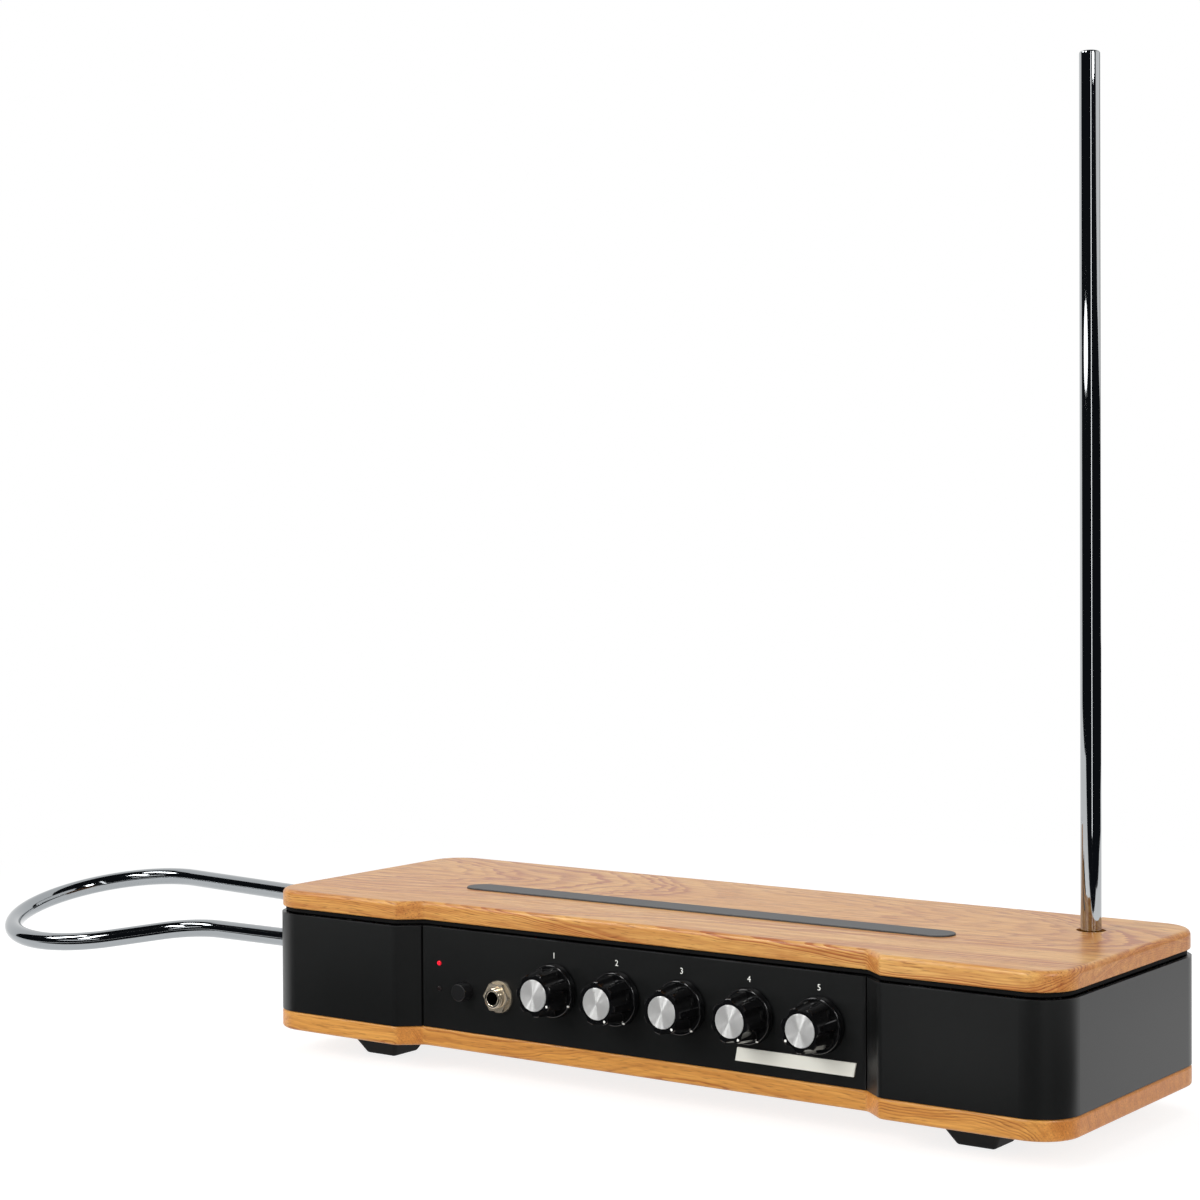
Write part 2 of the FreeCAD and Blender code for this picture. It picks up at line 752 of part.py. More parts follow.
def make_knob(index, control):
    """A fluted knob with a skirt, a recess over the nut, a spun cap and its own shaft, built along +Z."""
    skirt_cone = taper(control + "_skirt_cone", "skirt_radius", "skirt_top_radius", "skirt_tall")
    skirt = soft_top(control + "_skirt", skirt_cone, "skirt_edge")
    grip_cone = taper(control + "_grip_cone", "grip_radius", "nose_radius", "knob_tall")
    grip = soft_top(control + "_grip", grip_cone, "nose_edge")
    lean = -math.degrees(math.atan2(size("grip_radius") - size("nose_radius"), size("knob_tall")))
    flutes = []
    for k in range(FLUTES):
        angle = 360.0 / FLUTES * (k + 0.5)
        reach = "(grip_radius + flute_radius - flute_bite)"
        x, y = ["%s * %s(%.6fdeg)" % (reach, function, angle) for function in ("cos", "sin")]
        turn = Rotation(Vector(0, 0, 1), angle) * Rotation(Vector(0, 1, 0), lean)
        flutes.append(rod("%s_flute%d" % (control, k), "flute_radius", "knob_tall", x, y, "skirt_tall", turn))
    solid = fuse(control + "_solid", [skirt, cut(control + "_fluted", grip, flutes)])
    seat = "knob_tall - cap_thick + cap_proud"
    tools = [
        rod(control + "_hub", "hub_recess_radius", "hub_recess_deep"),
        rod(control + "_bore", "shaft_radius + cap_clear", "shaft_out - knob_gap + end_gap"),
        rod(control + "_cap_seat", "cap_radius + cap_clear", "cap_thick", z=seat),
    ]
    x, z = knob_x(index), "base_thick + control_rise"
    turn = FRONT * Rotation(Vector(0, 0, 1), 90.0 - POINTERS[control])
    knob = place(cut(control + "_knob", solid, tools), x, PANEL_FACE + " - knob_gap", z, turn)
    node(knob, "knob_" + control)
    cap = soft_top(control + "_cap", rod(control + "_cap_disc", "cap_radius", "cap_thick"), "cap_edge")
    place(cap, x, PANEL_FACE + " - knob_gap - knob_tall + cap_thick - cap_proud", z, FRONT)
    node(cap, "knob_cap_" + control)
    node(rod(control + "_shaft", "shaft_radius", "shaft_out + skin + pot_deep - pot_back - end_gap", x,
             PANEL_BACK + " + pot_deep - pot_back - end_gap", z, FRONT), "pot_shaft_" + control)


# Mute button, lamps and nameplate


def make_mute():
    z = "base_thick + mute_rise"
    body = box("mute_case", "mute_body", "mute_body_deep", "mute_body", "mute_x",
               PANEL_BACK + " + mute_body_deep / 2", z + " - mute_body / 2")
    well = rod("mute_well", "mute_radius + mute_clear", "mute_in + mute_travel + end_gap", "mute_x",
               PANEL_BACK, z, BACK)
    node(cut("mute_case_cut", body, [well]), "mute_switch")
    button = soft_top("mute_soft", rod("mute_stem", "mute_radius", "mute_out + skin + mute_in"), "mute_edge")
    node(place(button, "mute_x", PANEL_BACK + " + mute_in", z, FRONT), "mute_button")


def make_lamp(label, rise):
    """A lamp with a domed lens through the panel and a flange behind it."""
    stem = soft_top(label + "_stem", rod(label + "_lens", "lamp_radius", "skin + lamp_out"), "lamp_dome")
    flange = rod(label + "_flange", "lamp_flange_radius", "lamp_deep", turn=DOWN)
    lamp = place(fuse(label + "_whole", [stem, flange]), "lamp_x", PANEL_BACK, "base_thick + " + rise, FRONT)
    node(lamp, label)


def make_nameplate():
    half, tall, slant = "plate_len / 2", "plate_tall / 2", "plate_slant / 2"
    corners = [
        ("%s + %s" % (half, slant), tall),
        ("-%s + %s" % (half, slant), tall),
        ("-%s - %s" % (half, slant), "-" + tall),
        ("%s - %s" % (half, slant), "-" + tall),
    ]
    body, _ = pad_polygon("plate_body", corners, "plate_thick")
    place(body, "plate_x", PANEL_FACE, "base_thick + plate_rise", FRONT)
    node(body, "nameplate")


# Sockets


def make_jack(label, x, rise, back, face, inward, outward):
    """A quarter inch socket: its body inside, its barrel through the panel, and a washer and nut outside."""
    z = "base_thick + " + rise
    sign = "+" if inward is BACK else "-"
    case = box(label + "_case", "jack_body_wide", "jack_body_deep", "jack_body_tall", x,
               "%s %s jack_body_deep / 2" % (back, sign), z + " - jack_body_tall / 2")
    barrel = rod(label + "_barrel", "jack_barrel_radius", "skin + jack_barrel_out", x, back, z, outward)
    bore = rod(label + "_bore", "jack_bore_radius", "skin + jack_barrel_out + jack_body_deep - jack_back", x,
               "%s %s (jack_body_deep - jack_back)" % (back, sign), z, outward)
    node(cut(label + "_cut", fuse(label + "_solid", [case, barrel]), [bore]), label)
    washer = rod(label + "_washer", "jack_washer_radius", "jack_washer_thick", x, face, z, outward)
    eye = "jack_barrel_radius + screw_clear"
    washer_eye = rod(label + "_washer_eye", eye, "jack_washer_thick", x, face, z, outward)
    nut_y = "%s %s jack_washer_thick" % (face, "-" if inward is BACK else "+")
    nut = hexagon(label + "_hex", "jack_nut_flats", "jack_nut_thick", x, nut_y, z, outward)
    nut_eye = rod(label + "_nut_eye", eye, "jack_nut_thick", x, nut_y, z, outward)
    node(group(label + "_nut_set", [cut(label + "_washer_cut", washer, [washer_eye]),
                                    cut(label + "_hex_cut", nut, [nut_eye])]), label + "_nut")


def cv_x(index):
    return "cv_first_x + %d * cv_step" % index


def make_cv_jacks():
    jacks, nuts = [], []
    z = "base_thick + rear_rise"
    for i in range(CV_SOCKETS):
        x = cv_x(i)
        case = box("cv_case%d" % i, "cv_body_wide", "cv_body_deep", "cv_body_wide", x,
                   REAR_BACK + " - cv_body_deep / 2", z + " - cv_body_wide / 2")
        barrel = rod("cv_barrel%d" % i, "cv_barrel_radius", "skin + cv_barrel_out", x, REAR_BACK, z, BACK)
        bore = rod("cv_bore%d" % i, "cv_bore_radius", "skin + cv_barrel_out + cv_body_deep - cv_back", x,
                   REAR_BACK + " - cv_body_deep + cv_back", z, BACK)
        jacks.append(cut("cv_jack%d" % i, fuse("cv_solid%d" % i, [case, barrel]), [bore]))
        ring = rod("cv_ring%d" % i, "cv_nut_radius", "cv_nut_thick", x, REAR_FACE, z, BACK)
        eye = rod("cv_eye%d" % i, "cv_barrel_radius + screw_clear", "cv_nut_thick", x, REAR_FACE, z, BACK)
        nuts.append(cut("cv_nut%d" % i, ring, [eye]))
    node(group("cv_set", jacks), "cv_jacks")
    node(group("cv_nut_set", nuts), "cv_jack_nuts")


def make_power_inlet():
    z = "base_thick + rear_rise"
    middle = REAR_FACE + " + inlet_rim_thick / 2"
    shell = fuse("inlet_shell", [
        rod("inlet_rim", "inlet_rim_radius", "inlet_rim_thick", "inlet_x", REAR_FACE, z, BACK),
        rod("inlet_case", "inlet_radius", "inlet_deep", "inlet_x", middle, z, FRONT),
    ])
    mouth = REAR_FACE + " + inlet_rim_thick"
    bore = rod("inlet_bore", "inlet_bore_radius", "inlet_bore_deep", "inlet_x", mouth, z, FRONT)
    pin_long = "inlet_bore_deep + inlet_pin_root - inlet_pin_short"
    root = mouth + " - inlet_bore_deep - inlet_pin_root"
    pin = rod("inlet_pin", "inlet_pin_radius", pin_long, "inlet_x", root, z, BACK)
    node(fuse("inlet_whole", [cut("inlet_cut", shell, [bore]), pin]), "power_inlet")


def make_power_switch():
    """A rocker that turns on a hidden pin in its bezel. Its round back clears the case at every angle."""
    z = "base_thick + rear_rise"
    pivot_y = REAR_FACE + " + switch_rim_out + rocker_out - rocker_radius"
    case = box("switch_case", "switch_wide", "switch_deep", "switch_tall", "switch_x",
               REAR_FACE + " - switch_deep / 2 + switch_rim_out / 2", z + " - switch_tall / 2")
    wide, tall = "switch_wide + 2 * switch_rim", "switch_tall + 2 * switch_rim"
    rim = box("switch_bezel", wide, "switch_rim_out", tall, "switch_x", REAR_FACE + " + switch_rim_out / 2",
              z + " - switch_tall / 2 - switch_rim")
    well = rod("switch_well", "rocker_radius + rocker_clear", "rocker_wide + 2 * rocker_clear",
               "switch_x - rocker_wide / 2 - rocker_clear", pivot_y, z, RIGHT)
    node(cut("switch_cut", fuse("switch_solid", [case, rim]), [well]), "power_switch")
    half = "(rocker_radius + rocker_clear)"
    rise = "rocker_face + %s * tan(rocker_vee * 1deg)" % half
    vee = [
        ("-" + half, "-" + half),
        (half, "-" + half),
        (half, rise),
        ("0", "rocker_face"),
        ("-" + half, rise),
    ]
    wedge, _ = pad_polygon("rocker_vee_body", vee, "rocker_wide")
    rocker = common("rocker_whole", rod("rocker_drum", "rocker_radius", "rocker_wide"), wedge)
    turn = RIGHT * Rotation(Vector(0, 0, 1), size("rocker_vee"))
    node(place(rocker, "switch_x - rocker_wide / 2", pivot_y, z, turn), "power_rocker")


# Antennas


def make_pitch_antenna():
    floor = "base_thick + socket_floor"
    length = "%s + rod_out - (%s) - end_gap" % (LID_TOP, floor)
    tube = rod("rod_tube", "rod_radius", length, ROD_X, ROD_Y, floor + " + end_gap")
    soft = soft_top("rod_soft", tube, "rod_tip_round")
    hollow = rod("rod_hollow", "rod_radius - tube_wall", "%s - rod_tip_thick" % length, ROD_X, ROD_Y,
                 floor + " + end_gap")
    node(cut("rod_cut", soft, [hollow]), "pitch_antenna")
    cup = fuse("rod_cup", [
        rod("rod_cup_flange", "socket_flange_radius", "socket_floor", ROD_X, ROD_Y, "base_thick"),
        rod("rod_cup_wall", SOCKET_RADIUS, "socket_tall", ROD_X, ROD_Y, "base_thick"),
    ])
    bore = rod("rod_cup_bore", "rod_radius + rod_clear", "socket_tall - socket_floor", ROD_X, ROD_Y, floor)
    node(cut("rod_cup_cut", cup, [bore]), "pitch_socket")


def leg_spot(way):
    """The y and z of one of the loop's two legs."""
    y = "%s * leg_half * cos(loop_tilt * 1deg)" % way
    z = "base_thick + loop_rise + %s * leg_half * sin(loop_tilt * 1deg)" % way
    return y, z


def loop_path():
    """The loop's centre line: out along the near leg, round the end and back along the far leg.

    The near leg flares to the front before the round end, the far one only a little to the back.
    """
    tilt = math.radians(size("loop_tilt"))
    middle = Vector(-size("body_len") / 2, 0, size("base_thick") + size("loop_rise"))

    def world(out, across):
        return middle + Vector(-out, across * math.cos(tilt), across * math.sin(tilt))

    inner = size("skin") + size("loop_socket_len") - size("loop_socket_back") - size("end_gap")
    near, far = math.radians(size("near_angle")), math.radians(size("far_angle"))
    neck, flare = size("neck_radius"), size("flare_len")
    near_out = size("leg_out") + neck * math.sin(near) + flare * math.cos(near)
    far_out = size("leg_out") + neck * math.sin(far)
    flared = neck * (2 - math.cos(near) - math.cos(far)) + flare * math.sin(near)
    spread = 2 * size("leg_half") + flared + (near_out - far_out) * math.tan(far)
    lean = (math.sin(near) - math.sin(far)) * math.tan(far)
    end_radius = spread / (math.cos(near) + math.cos(far) - lean)
    end_out = near_out + end_radius * (math.sin(near) - math.sin(far))
    moves = [
        ("line", inner + size("leg_out")),
        ("arc", neck, -near),
        ("line", flare),
        ("arc", end_radius, math.pi + near + far),
        ("line", (end_out - far_out) / math.cos(far)),
        ("arc", neck, -far),
        ("line", inner + size("leg_out")),
    ]
    out, across, heading = -inner, -size("leg_half"), 0.0
    edges = []
    for move in moves:
        begin = world(out, across)
        if move[0] == "line":
            out += move[1] * math.cos(heading)
            across += move[1] * math.sin(heading)
            edges.append(Part.LineSegment(begin, world(out, across)).toShape())
            continue
        radius, angle = move[1], move[2]
        way = math.copysign(1.0, angle)
        hub = (out - way * radius * math.sin(heading), across + way * radius * math.cos(heading))

        def on_arc(part):
            at = heading + angle * part
            return hub[0] + way * radius * math.sin(at), hub[1] - way * radius * math.cos(at)

        half_way, out_across = on_arc(0.5), on_arc(1.0)
        edges.append(Part.Arc(begin, world(*half_way), world(*out_across)).toShape())
        out, across = out_across
        heading += angle
    return Part.Wire(edges)


def sweep(name, wire, radius, turn):
    """A round solid of the given radius along a wire."""
    spine = doc.addObject("Part::Feature", name + "_spine")
    spine.Shape = wire
    ring = doc.addObject("Part::Circle", name + "_ring")
    bind(ring, Radius=radius)
    ring.Placement = Placement(wire.OrderedVertexes[0].Point, turn)
    obj = doc.addObject("Part::Sweep", name)
    obj.Sections = [ring]
    obj.Spine = (spine, ["Edge%d" % (i + 1) for i in range(len(wire.Edges))])
    obj.Solid = True
    obj.Frenet = False
    return obj


def make_volume_loop():
    wire = loop_path()
    solid = sweep("loop_solid", wire, "rod_radius", LEFT)
    hollow = sweep("loop_hollow", wire, "rod_radius - tube_wall", LEFT)
    node(cut("loop_tube", solid, [hollow]), "volume_loop")
    sockets, holes = [], []
    start = "skin - body_len / 2"
    for i, way in enumerate(("-1", "1")):
        y, z = leg_spot(way)
        wall = rod("loop_socket_wall%d" % i, SOCKET_RADIUS, "loop_socket_len", start, y, z, RIGHT)
        bore = rod("loop_socket_bore%d" % i, "rod_radius + rod_clear", "loop_socket_len - loop_socket_back",
                   start, y, z, RIGHT)
        sockets.append(cut("loop_socket%d" % i, wall, [bore]))
        seat = SOCKET_RADIUS + " + seat_clear"
        holes.append(rod("bracket_hole%d" % i, seat, "bracket_len + 2 * seat_clear", start, y, z, RIGHT))
    node(group("loop_socket_set", sockets), "loop_sockets")
    wide = "2 * (leg_half + %s + bracket_edge)" % SOCKET_RADIUS
    tall = "loop_rise + leg_half * sin(loop_tilt * 1deg) + %s + bracket_edge" % SOCKET_RADIUS
    middle = start + " + seat_clear + bracket_len / 2"
    base = box("bracket_plate", "bracket_len", wide, "bracket_base", middle, z="base_thick")
    cheeks = []
    for i, way in enumerate(("-", "+")):
        x = "%s %s (bracket_len - bracket_cheek) / 2" % (middle, way)
        cheeks.append(box("bracket_cheek%d" % i, "bracket_cheek", wide, tall, x, z="base_thick"))
    node(cut("bracket_cut", fuse("bracket_solid", [base] + cheeks), holes), "loop_bracket")


# Circuit boards, coils and leads


def standoff_spots():
    x, y = "(board_len / 2 - standoff_inset)", "(board_wide / 2 - standoff_inset)"
    return [(sx + " * " + x, sy + " * " + y) for sx in ("-1", "0", "1") for sy in ("-1", "1")]


def make_main_board():
    chips = []
    for column in range(CHIP_COLUMNS):
        for line in range(CHIP_LINES):
            x = "%.1f * chip_step" % (column - (CHIP_COLUMNS - 1) / 2)
            y = "%.1f * chip_step" % (line - (CHIP_LINES - 1) / 2)
            name = "chip%d%d" % (column, line)
            chips.append(box(name, "chip_len", "chip_wide", "board_thick + chip_tall", x, y, BOARD_FLOOR))
    blank = box("board_blank", "board_len", "board_wide", "board_thick", z=BOARD_FLOOR)
    solid = fuse("board_solid", [blank] + chips)
    holes, standoffs = [], []
    for i, (x, y) in enumerate(standoff_spots()):
        holes.append(rod("board_hole%d" % i, STUD_HOLE, "board_thick", x, y, BOARD_FLOOR))
        pillar = rod("standoff_pillar%d" % i, "standoff_radius", "standoff_tall", x, y, "base_thick")
        peg_long = "standoff_tall + board_thick + peg_out"
        peg = rod("standoff_peg%d" % i, "stud_radius", peg_long, x, y, "base_thick")
        standoffs.append(fuse("standoff%d" % i, [pillar, peg]))
    node(cut("board_cut", solid, holes), "main_board")
    node(group("standoff_set", standoffs), "board_standoffs")


def make_coils(label, side):
    """Wound spools that stand in a row on the board near their antenna."""
    coils = []
    x = side + " * " + COIL_X
    head_floor = BOARD_TOP + " + coil_tall - coil_flange"
    for i in range(COILS):
        y = "coil_y - %d * coil_step" % i
        coils.append(fuse("%s_spool%d" % (label, i), [
            rod("%s_barrel%d" % (label, i), "coil_radius - coil_rim", "coil_tall", x, y, BOARD_TOP),
            rod("%s_foot%d" % (label, i), "coil_radius", "coil_flange", x, y, BOARD_TOP),
            rod("%s_head%d" % (label, i), "coil_radius", "coil_flange", x, y, head_floor),
        ]))
    node(group(label + "_set", coils), label)


def bent_wire(points, radius):
    """Straight runs through the points, each corner rounded with the same radius."""
    edges = []
    start = points[0]
    for before, corner, after in zip(points, points[1:], points[2:]):
        way_in = (corner - before).normalize()
        way_out = (after - corner).normalize()
        turn = way_in.getAngle(way_out)
        back = radius * math.tan(turn / 2)
        enter, leave = corner - way_in * back, corner + way_out * back
        bisector = (way_out - way_in).normalize()
        middle = corner + bisector * (radius / math.cos(turn / 2) - radius)
        edges.append(Part.LineSegment(start, enter).toShape())
        edges.append(Part.Arc(enter, middle, leave).toShape())
        start = leave
    edges.append(Part.LineSegment(start, points[-1]).toShape())
    return Part.Wire(edges)


def make_leads():
    """Insulated wires from the top of each nearest coil to the side or top of a socket."""
    head = value(BOARD_TOP + " + coil_tall")
    wall = value(SOCKET_RADIUS)
    coil = Vector(value(COIL_X), size("coil_y"), head)
    above = head + size("pitch_lead_rise")
    rise, cup = Vector(coil.x, coil.y, above), Vector(value(ROD_X), value(ROD_Y), above)
    pitch = [coil, rise, cup - (cup - rise).normalize() * wall]
    node(sweep("pitch_wire", bent_wire(pitch, size("lead_bend")), "lead_radius", UP), "pitch_lead")
    leg_y, leg_z = [value(text) for text in leg_spot("-1")]
    leg_top = leg_z + wall
    leg_x = value("skin + loop_socket_len - lead_bend - body_len / 2")
    above = head + size("volume_lead_rise")
    volume = [
        Vector(-coil.x, coil.y, head),
        Vector(-coil.x, coil.y, above),
        Vector(leg_x, leg_y, above),
        Vector(leg_x, leg_y, leg_top),
    ]
    node(sweep("volume_wire", bent_wire(volume, size("lead_bend")), "lead_radius", UP), "volume_lead")


make_base_board()
make_lid_board()
make_strip()
make_upper_frame()
make_cover("left_side_cover", "-1")
make_cover("right_side_cover", "1")
make_front_panel()
make_rear_panel()
make_post_group()
make_feet()
make_stand_flange()
make_pots()
for number, control in enumerate(CONTROLS):
    make_knob(number, control)
make_mute()
make_lamp("power_lamp", "power_lamp_rise")
make_lamp("mute_lamp", "mute_lamp_rise")
make_nameplate()
make_jack("phones_jack", "phones_x", "phones_rise", PANEL_BACK, PANEL_FACE, BACK, FRONT)
make_jack("audio_jack", "audio_x", "rear_rise", REAR_BACK, REAR_FACE, FRONT, BACK)
make_cv_jacks()
make_power_inlet()
make_power_switch()
make_pitch_antenna()
make_volume_loop()
make_main_board()
make_coils("pitch_coils", "1")
make_coils("volume_coils", "-1")
make_leads()
doc.recompute()

broken = [obj.Name for obj in doc.Objects if {"Invalid", "Error"} & set(obj.State)]
if broken:
    raise SystemExit("failed objects: " + ", ".join(broken))
for part in nodes:
    if part.Shape.isNull() or not part.Shape.isValid():
        raise SystemExit("bad shape: " + part.Label)

os.makedirs("parts", exist_ok=True)
for part in nodes:
    part.Shape.exportStep("parts/%s.step" % part.Label)
    print("%-22s %2d solids %12.1f mm3" % (part.Label, len(part.Shape.Solids), part.Shape.Volume))
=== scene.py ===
"""Looks for the theremin: materials, small surface pieces, a pale studio and the camera."""
import math
from collections import namedtuple

import bmesh
import bpy
from mathutils import Matrix, Vector


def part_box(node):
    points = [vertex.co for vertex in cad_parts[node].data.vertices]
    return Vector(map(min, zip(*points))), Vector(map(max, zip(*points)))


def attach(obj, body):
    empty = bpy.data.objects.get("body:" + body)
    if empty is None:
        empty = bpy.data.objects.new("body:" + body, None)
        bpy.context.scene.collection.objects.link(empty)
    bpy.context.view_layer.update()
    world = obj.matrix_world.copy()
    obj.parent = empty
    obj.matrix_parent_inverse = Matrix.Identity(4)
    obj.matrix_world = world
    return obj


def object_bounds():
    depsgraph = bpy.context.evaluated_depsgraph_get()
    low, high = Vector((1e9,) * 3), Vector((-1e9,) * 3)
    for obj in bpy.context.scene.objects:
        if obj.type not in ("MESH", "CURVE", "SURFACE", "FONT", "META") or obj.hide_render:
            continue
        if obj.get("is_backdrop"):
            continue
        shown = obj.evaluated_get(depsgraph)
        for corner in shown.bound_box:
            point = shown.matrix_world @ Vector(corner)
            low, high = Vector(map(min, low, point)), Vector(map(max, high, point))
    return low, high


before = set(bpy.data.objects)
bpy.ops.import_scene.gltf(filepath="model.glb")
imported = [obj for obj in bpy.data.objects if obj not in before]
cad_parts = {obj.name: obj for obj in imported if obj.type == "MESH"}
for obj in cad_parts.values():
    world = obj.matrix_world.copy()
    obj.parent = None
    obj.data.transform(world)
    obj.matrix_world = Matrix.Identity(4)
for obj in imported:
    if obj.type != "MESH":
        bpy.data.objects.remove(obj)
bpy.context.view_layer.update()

CONTROLS = ("phones", "volume", "pitch", "wave", "tone")
# Each pointer's angle in degrees, clockwise from the top
POINTERS = {"phones": 120.0, "volume": 150.0, "pitch": 143.0, "wave": 150.0, "tone": -125.0}
MM = 0.001

BLACK = (0.0, 0.0, 0.0)
WHITE = (1.0, 1.0, 1.0)
# The corners of a square about its middle, in turn
SQUARE = ((-1, -1), (1, -1), (1, 1), (-1, 1))

# A socket's barrel, in millimetres: its radius and its bore's, and its thread's pitch and height
Barrel = namedtuple("Barrel", "outer bore pitch ridge")
BIG_BARREL = Barrel(outer=4.76, bore=3.25, pitch=1.45, ridge=0.32)
SMALL_BARREL = Barrel(outer=3.0, bore=1.8, pitch=0.7, ridge=0.2)


def middle_mm(node):
    """The middle of a CAD node's box, in millimetres."""
    low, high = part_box(node)
    return tuple((low + high) / 2 / MM)


def turn_of(step, steps):
    """The angle of one of the even steps round a circle."""
    return 2 * math.pi * step / steps


# Colours and node graphs

# The display's curve: its straight part's last level and slope, then its offset, scale and power
TOE, TOE_SLOPE = 10, 12.92
CURVE_OFFSET, CURVE_SCALE, CURVE_POWER = 0.055, 1.055, 2.4


def linear(level):
    """One display level of 0 to 255 as linear light."""
    share = level / 255
    if level <= TOE:
        return share / TOE_SLOPE
    return ((share + CURVE_OFFSET) / CURVE_SCALE) ** CURVE_POWER


def srgb(red, green, blue):
    """A display colour of 0 to 255 as linear light."""
    return linear(red), linear(green), linear(blue)


def tone(colour, factor, lift=0.0):
    """A colour made paler or darker."""
    return tuple(c * factor + lift for c in colour)


class Graph:
    """The node tree of a material or a world, with short calls for the nodes that are used here."""

    def __init__(self, owner, output="OutputMaterial"):
        owner.use_nodes = True
        self.owner = owner
        self.tree = owner.node_tree
        self.tree.nodes.clear()
        self.output = self.add(output)

    def feed(self, socket, value):
        """Give an input a link, a colour or a plain value."""
        if isinstance(value, bpy.types.NodeSocket):
            self.tree.links.new(value, socket)
        elif isinstance(value, tuple) and len(socket.default_value) == 4:
            socket.default_value = value + (1.0,)
        else:
            socket.default_value = value

    def add(self, kind, inputs=None, **settings):
        """A new node with its settings and inputs."""
        made = self.tree.nodes.new("ShaderNode" + kind)
        for key, value in settings.items():
            setattr(made, key, value)
        for key, value in (inputs or {}).items():
            self.feed(made.inputs[key], value)
        return made

    def math(self, operation, a, b=0.0, c=0.0, clamp=False):
        """One operation on plain values. The four below it are short forms."""
        inputs = {0: a, 1: b, 2: c}
        return self.add("Math", inputs, operation=operation, use_clamp=clamp).outputs[0]

    def plus(self, a, b):
        return self.math("ADD", a, b)

    def less(self, a, b):
        return self.math("SUBTRACT", a, b)

    def times(self, a, b, clamp=False):
        return self.math("MULTIPLY", a, b, clamp=clamp)

    def line(self, value, slope, start):
        """A straight line: the value times the slope, from the start."""
        return self.math("MULTIPLY_ADD", value, slope, start)

    def vector(self, operation, a, b=(0.0, 0.0, 0.0), out=0):
        return self.add("VectorMath", {0: a, 1: b}, operation=operation).outputs[out]

    def place(self):
        """The point in the row frame, in millimetres."""
        point = self.add("TexCoord").outputs["Object"]
        return self.vector("MULTIPLY", point, (1 / MM,) * 3)

    def split(self, vector):
        return self.add("SeparateXYZ", {0: vector}).outputs[:3]

    def noise(self, point, scale, detail, rough=0.5, shift=(0.0, 0.0, 0.0)):
        """Noise about 0 to 1. The scale is in cycles per millimetre along each axis."""
        where = self.vector("ADD", self.vector("MULTIPLY", point, scale), shift)
        inputs = {"Vector": where, "Scale": 1.0, "Detail": detail, "Roughness": rough}
        return self.add("TexNoise", inputs).outputs["Fac"]

    def noise_along(self, value, scale, detail):
        """Noise about 0 to 1 that changes with one value alone."""
        inputs = {"W": value, "Scale": scale, "Detail": detail}
        return self.add("TexNoise", inputs, noise_dimensions="1D").outputs["Fac"]

    def fit(self, value, low, high, to_low=0.0, to_high=1.0, smooth=False):
        """A value cut to the range from low to high and stretched to the range from to_low."""
        inputs = {0: value, 1: low, 2: high, 3: to_low, 4: to_high}
        made = self.add("MapRange", inputs, clamp=True)
        if smooth:
            made.interpolation_type = "SMOOTHSTEP"
        return made.outputs[0]

    def ramp(self, value, stops):
        """A value through straight steps between (place, level) pairs."""
        made = self.add("ValToRGB", {0: value})
        points = made.color_ramp.elements
        while len(points) < len(stops):
            points.new(0.5)
        for point, (place, level) in zip(points, stops):
            point.position = place
            point.color = (level, level, level, 1.0)
        return made.outputs[0]

    def mix(self, factor, a, b, blend="MIX"):
        """Two colours mixed. A colour mix has its inputs at 0, 6 and 7 and its output at 2."""
        inputs = {0: factor, 6: a, 7: b}
        return self.add("Mix", inputs, data_type="RGBA", blend_type=blend).outputs[2]

    def bump(self, height, distance, strength=1.0):
        """A bump from a height of 0 to 1 that stands for the distance in millimetres."""
        inputs = {"Height": height, "Distance": distance * MM, "Strength": strength}
        return self.add("Bump", inputs).outputs["Normal"]

    def end(self, node):
        """End the tree in a node, and return the material or the world."""
        self.tree.links.new(node.outputs[0], self.output.inputs[0])
        return self.owner

    def shade(self, **inputs):
        """End in a Principled shader whose sockets are named with underscores for spaces."""
        named = {key.replace("_", " "): value for key, value in inputs.items()}
        return self.end(self.add("BsdfPrincipled", named))


def surface(name):
    """The empty graph of a new material."""
    return Graph(bpy.data.materials.new(name))


def around_y(g, centre):
    """A point's offset from the line along Y through the centre, and its length, in millimetres."""
    offset = g.vector("MULTIPLY", g.vector("SUBTRACT", g.place(), centre), (1.0, 0.0, 1.0))
    return offset, g.vector("LENGTH", offset, out=1)


# Materials

# The middle of a noise, where most of its values lie
MIDDLE = (0.3, 0.7)

# What moves the rings of the wood: the noise's scale, detail and roughness, how far it moves them
# in millimetres, and the factor and start that give it a shift of its own from the wood's seed
SWAY = ((0.0036, 0.004, 0.004), 2.0, 0.5, 40.0, 1, 0)
SWELL = ((0.0042, 0.003, 0.003), 2.0, 0.45, 20.0, 2, 7)
RIPPLE = ((0.016, 0.03, 0.03), 2.0, 0.55, 3.0, 3, 3)
WANDER = ((0.05, 0.2, 0.2), 2.0, 0.6, 1.3, 5, 1)
# The marks of the wood: scale, detail, roughness and shift
FIBRES = ((0.045, 1.25, 1.25), 3.0, 0.65)
STREAKS = ((0.018, 0.24, 0.24), 3.0, 0.6, (4.0, 1.0, 2.0))
PORES = ((0.14, 1.7, 1.7), 1.0, 0.5, (9.0, 5.0, 3.0))
CLOUDS = ((0.004, 0.02, 0.02), 2.0, 0.5, (1.0, 8.0, 6.0))
# Years that are wide or narrow, and strong or weak, alone and in runs
RING_DETAIL = 1.0
WIDTH_SCALE, WIDTH_REACH = 0.17, 4.0
YEAR_REACH, YEAR_LEAST = 0.9, 0.4
DECADE_SCALE = 0.2
DECADE_FIT = (0.38, 0.62, 0.15, 1.5)
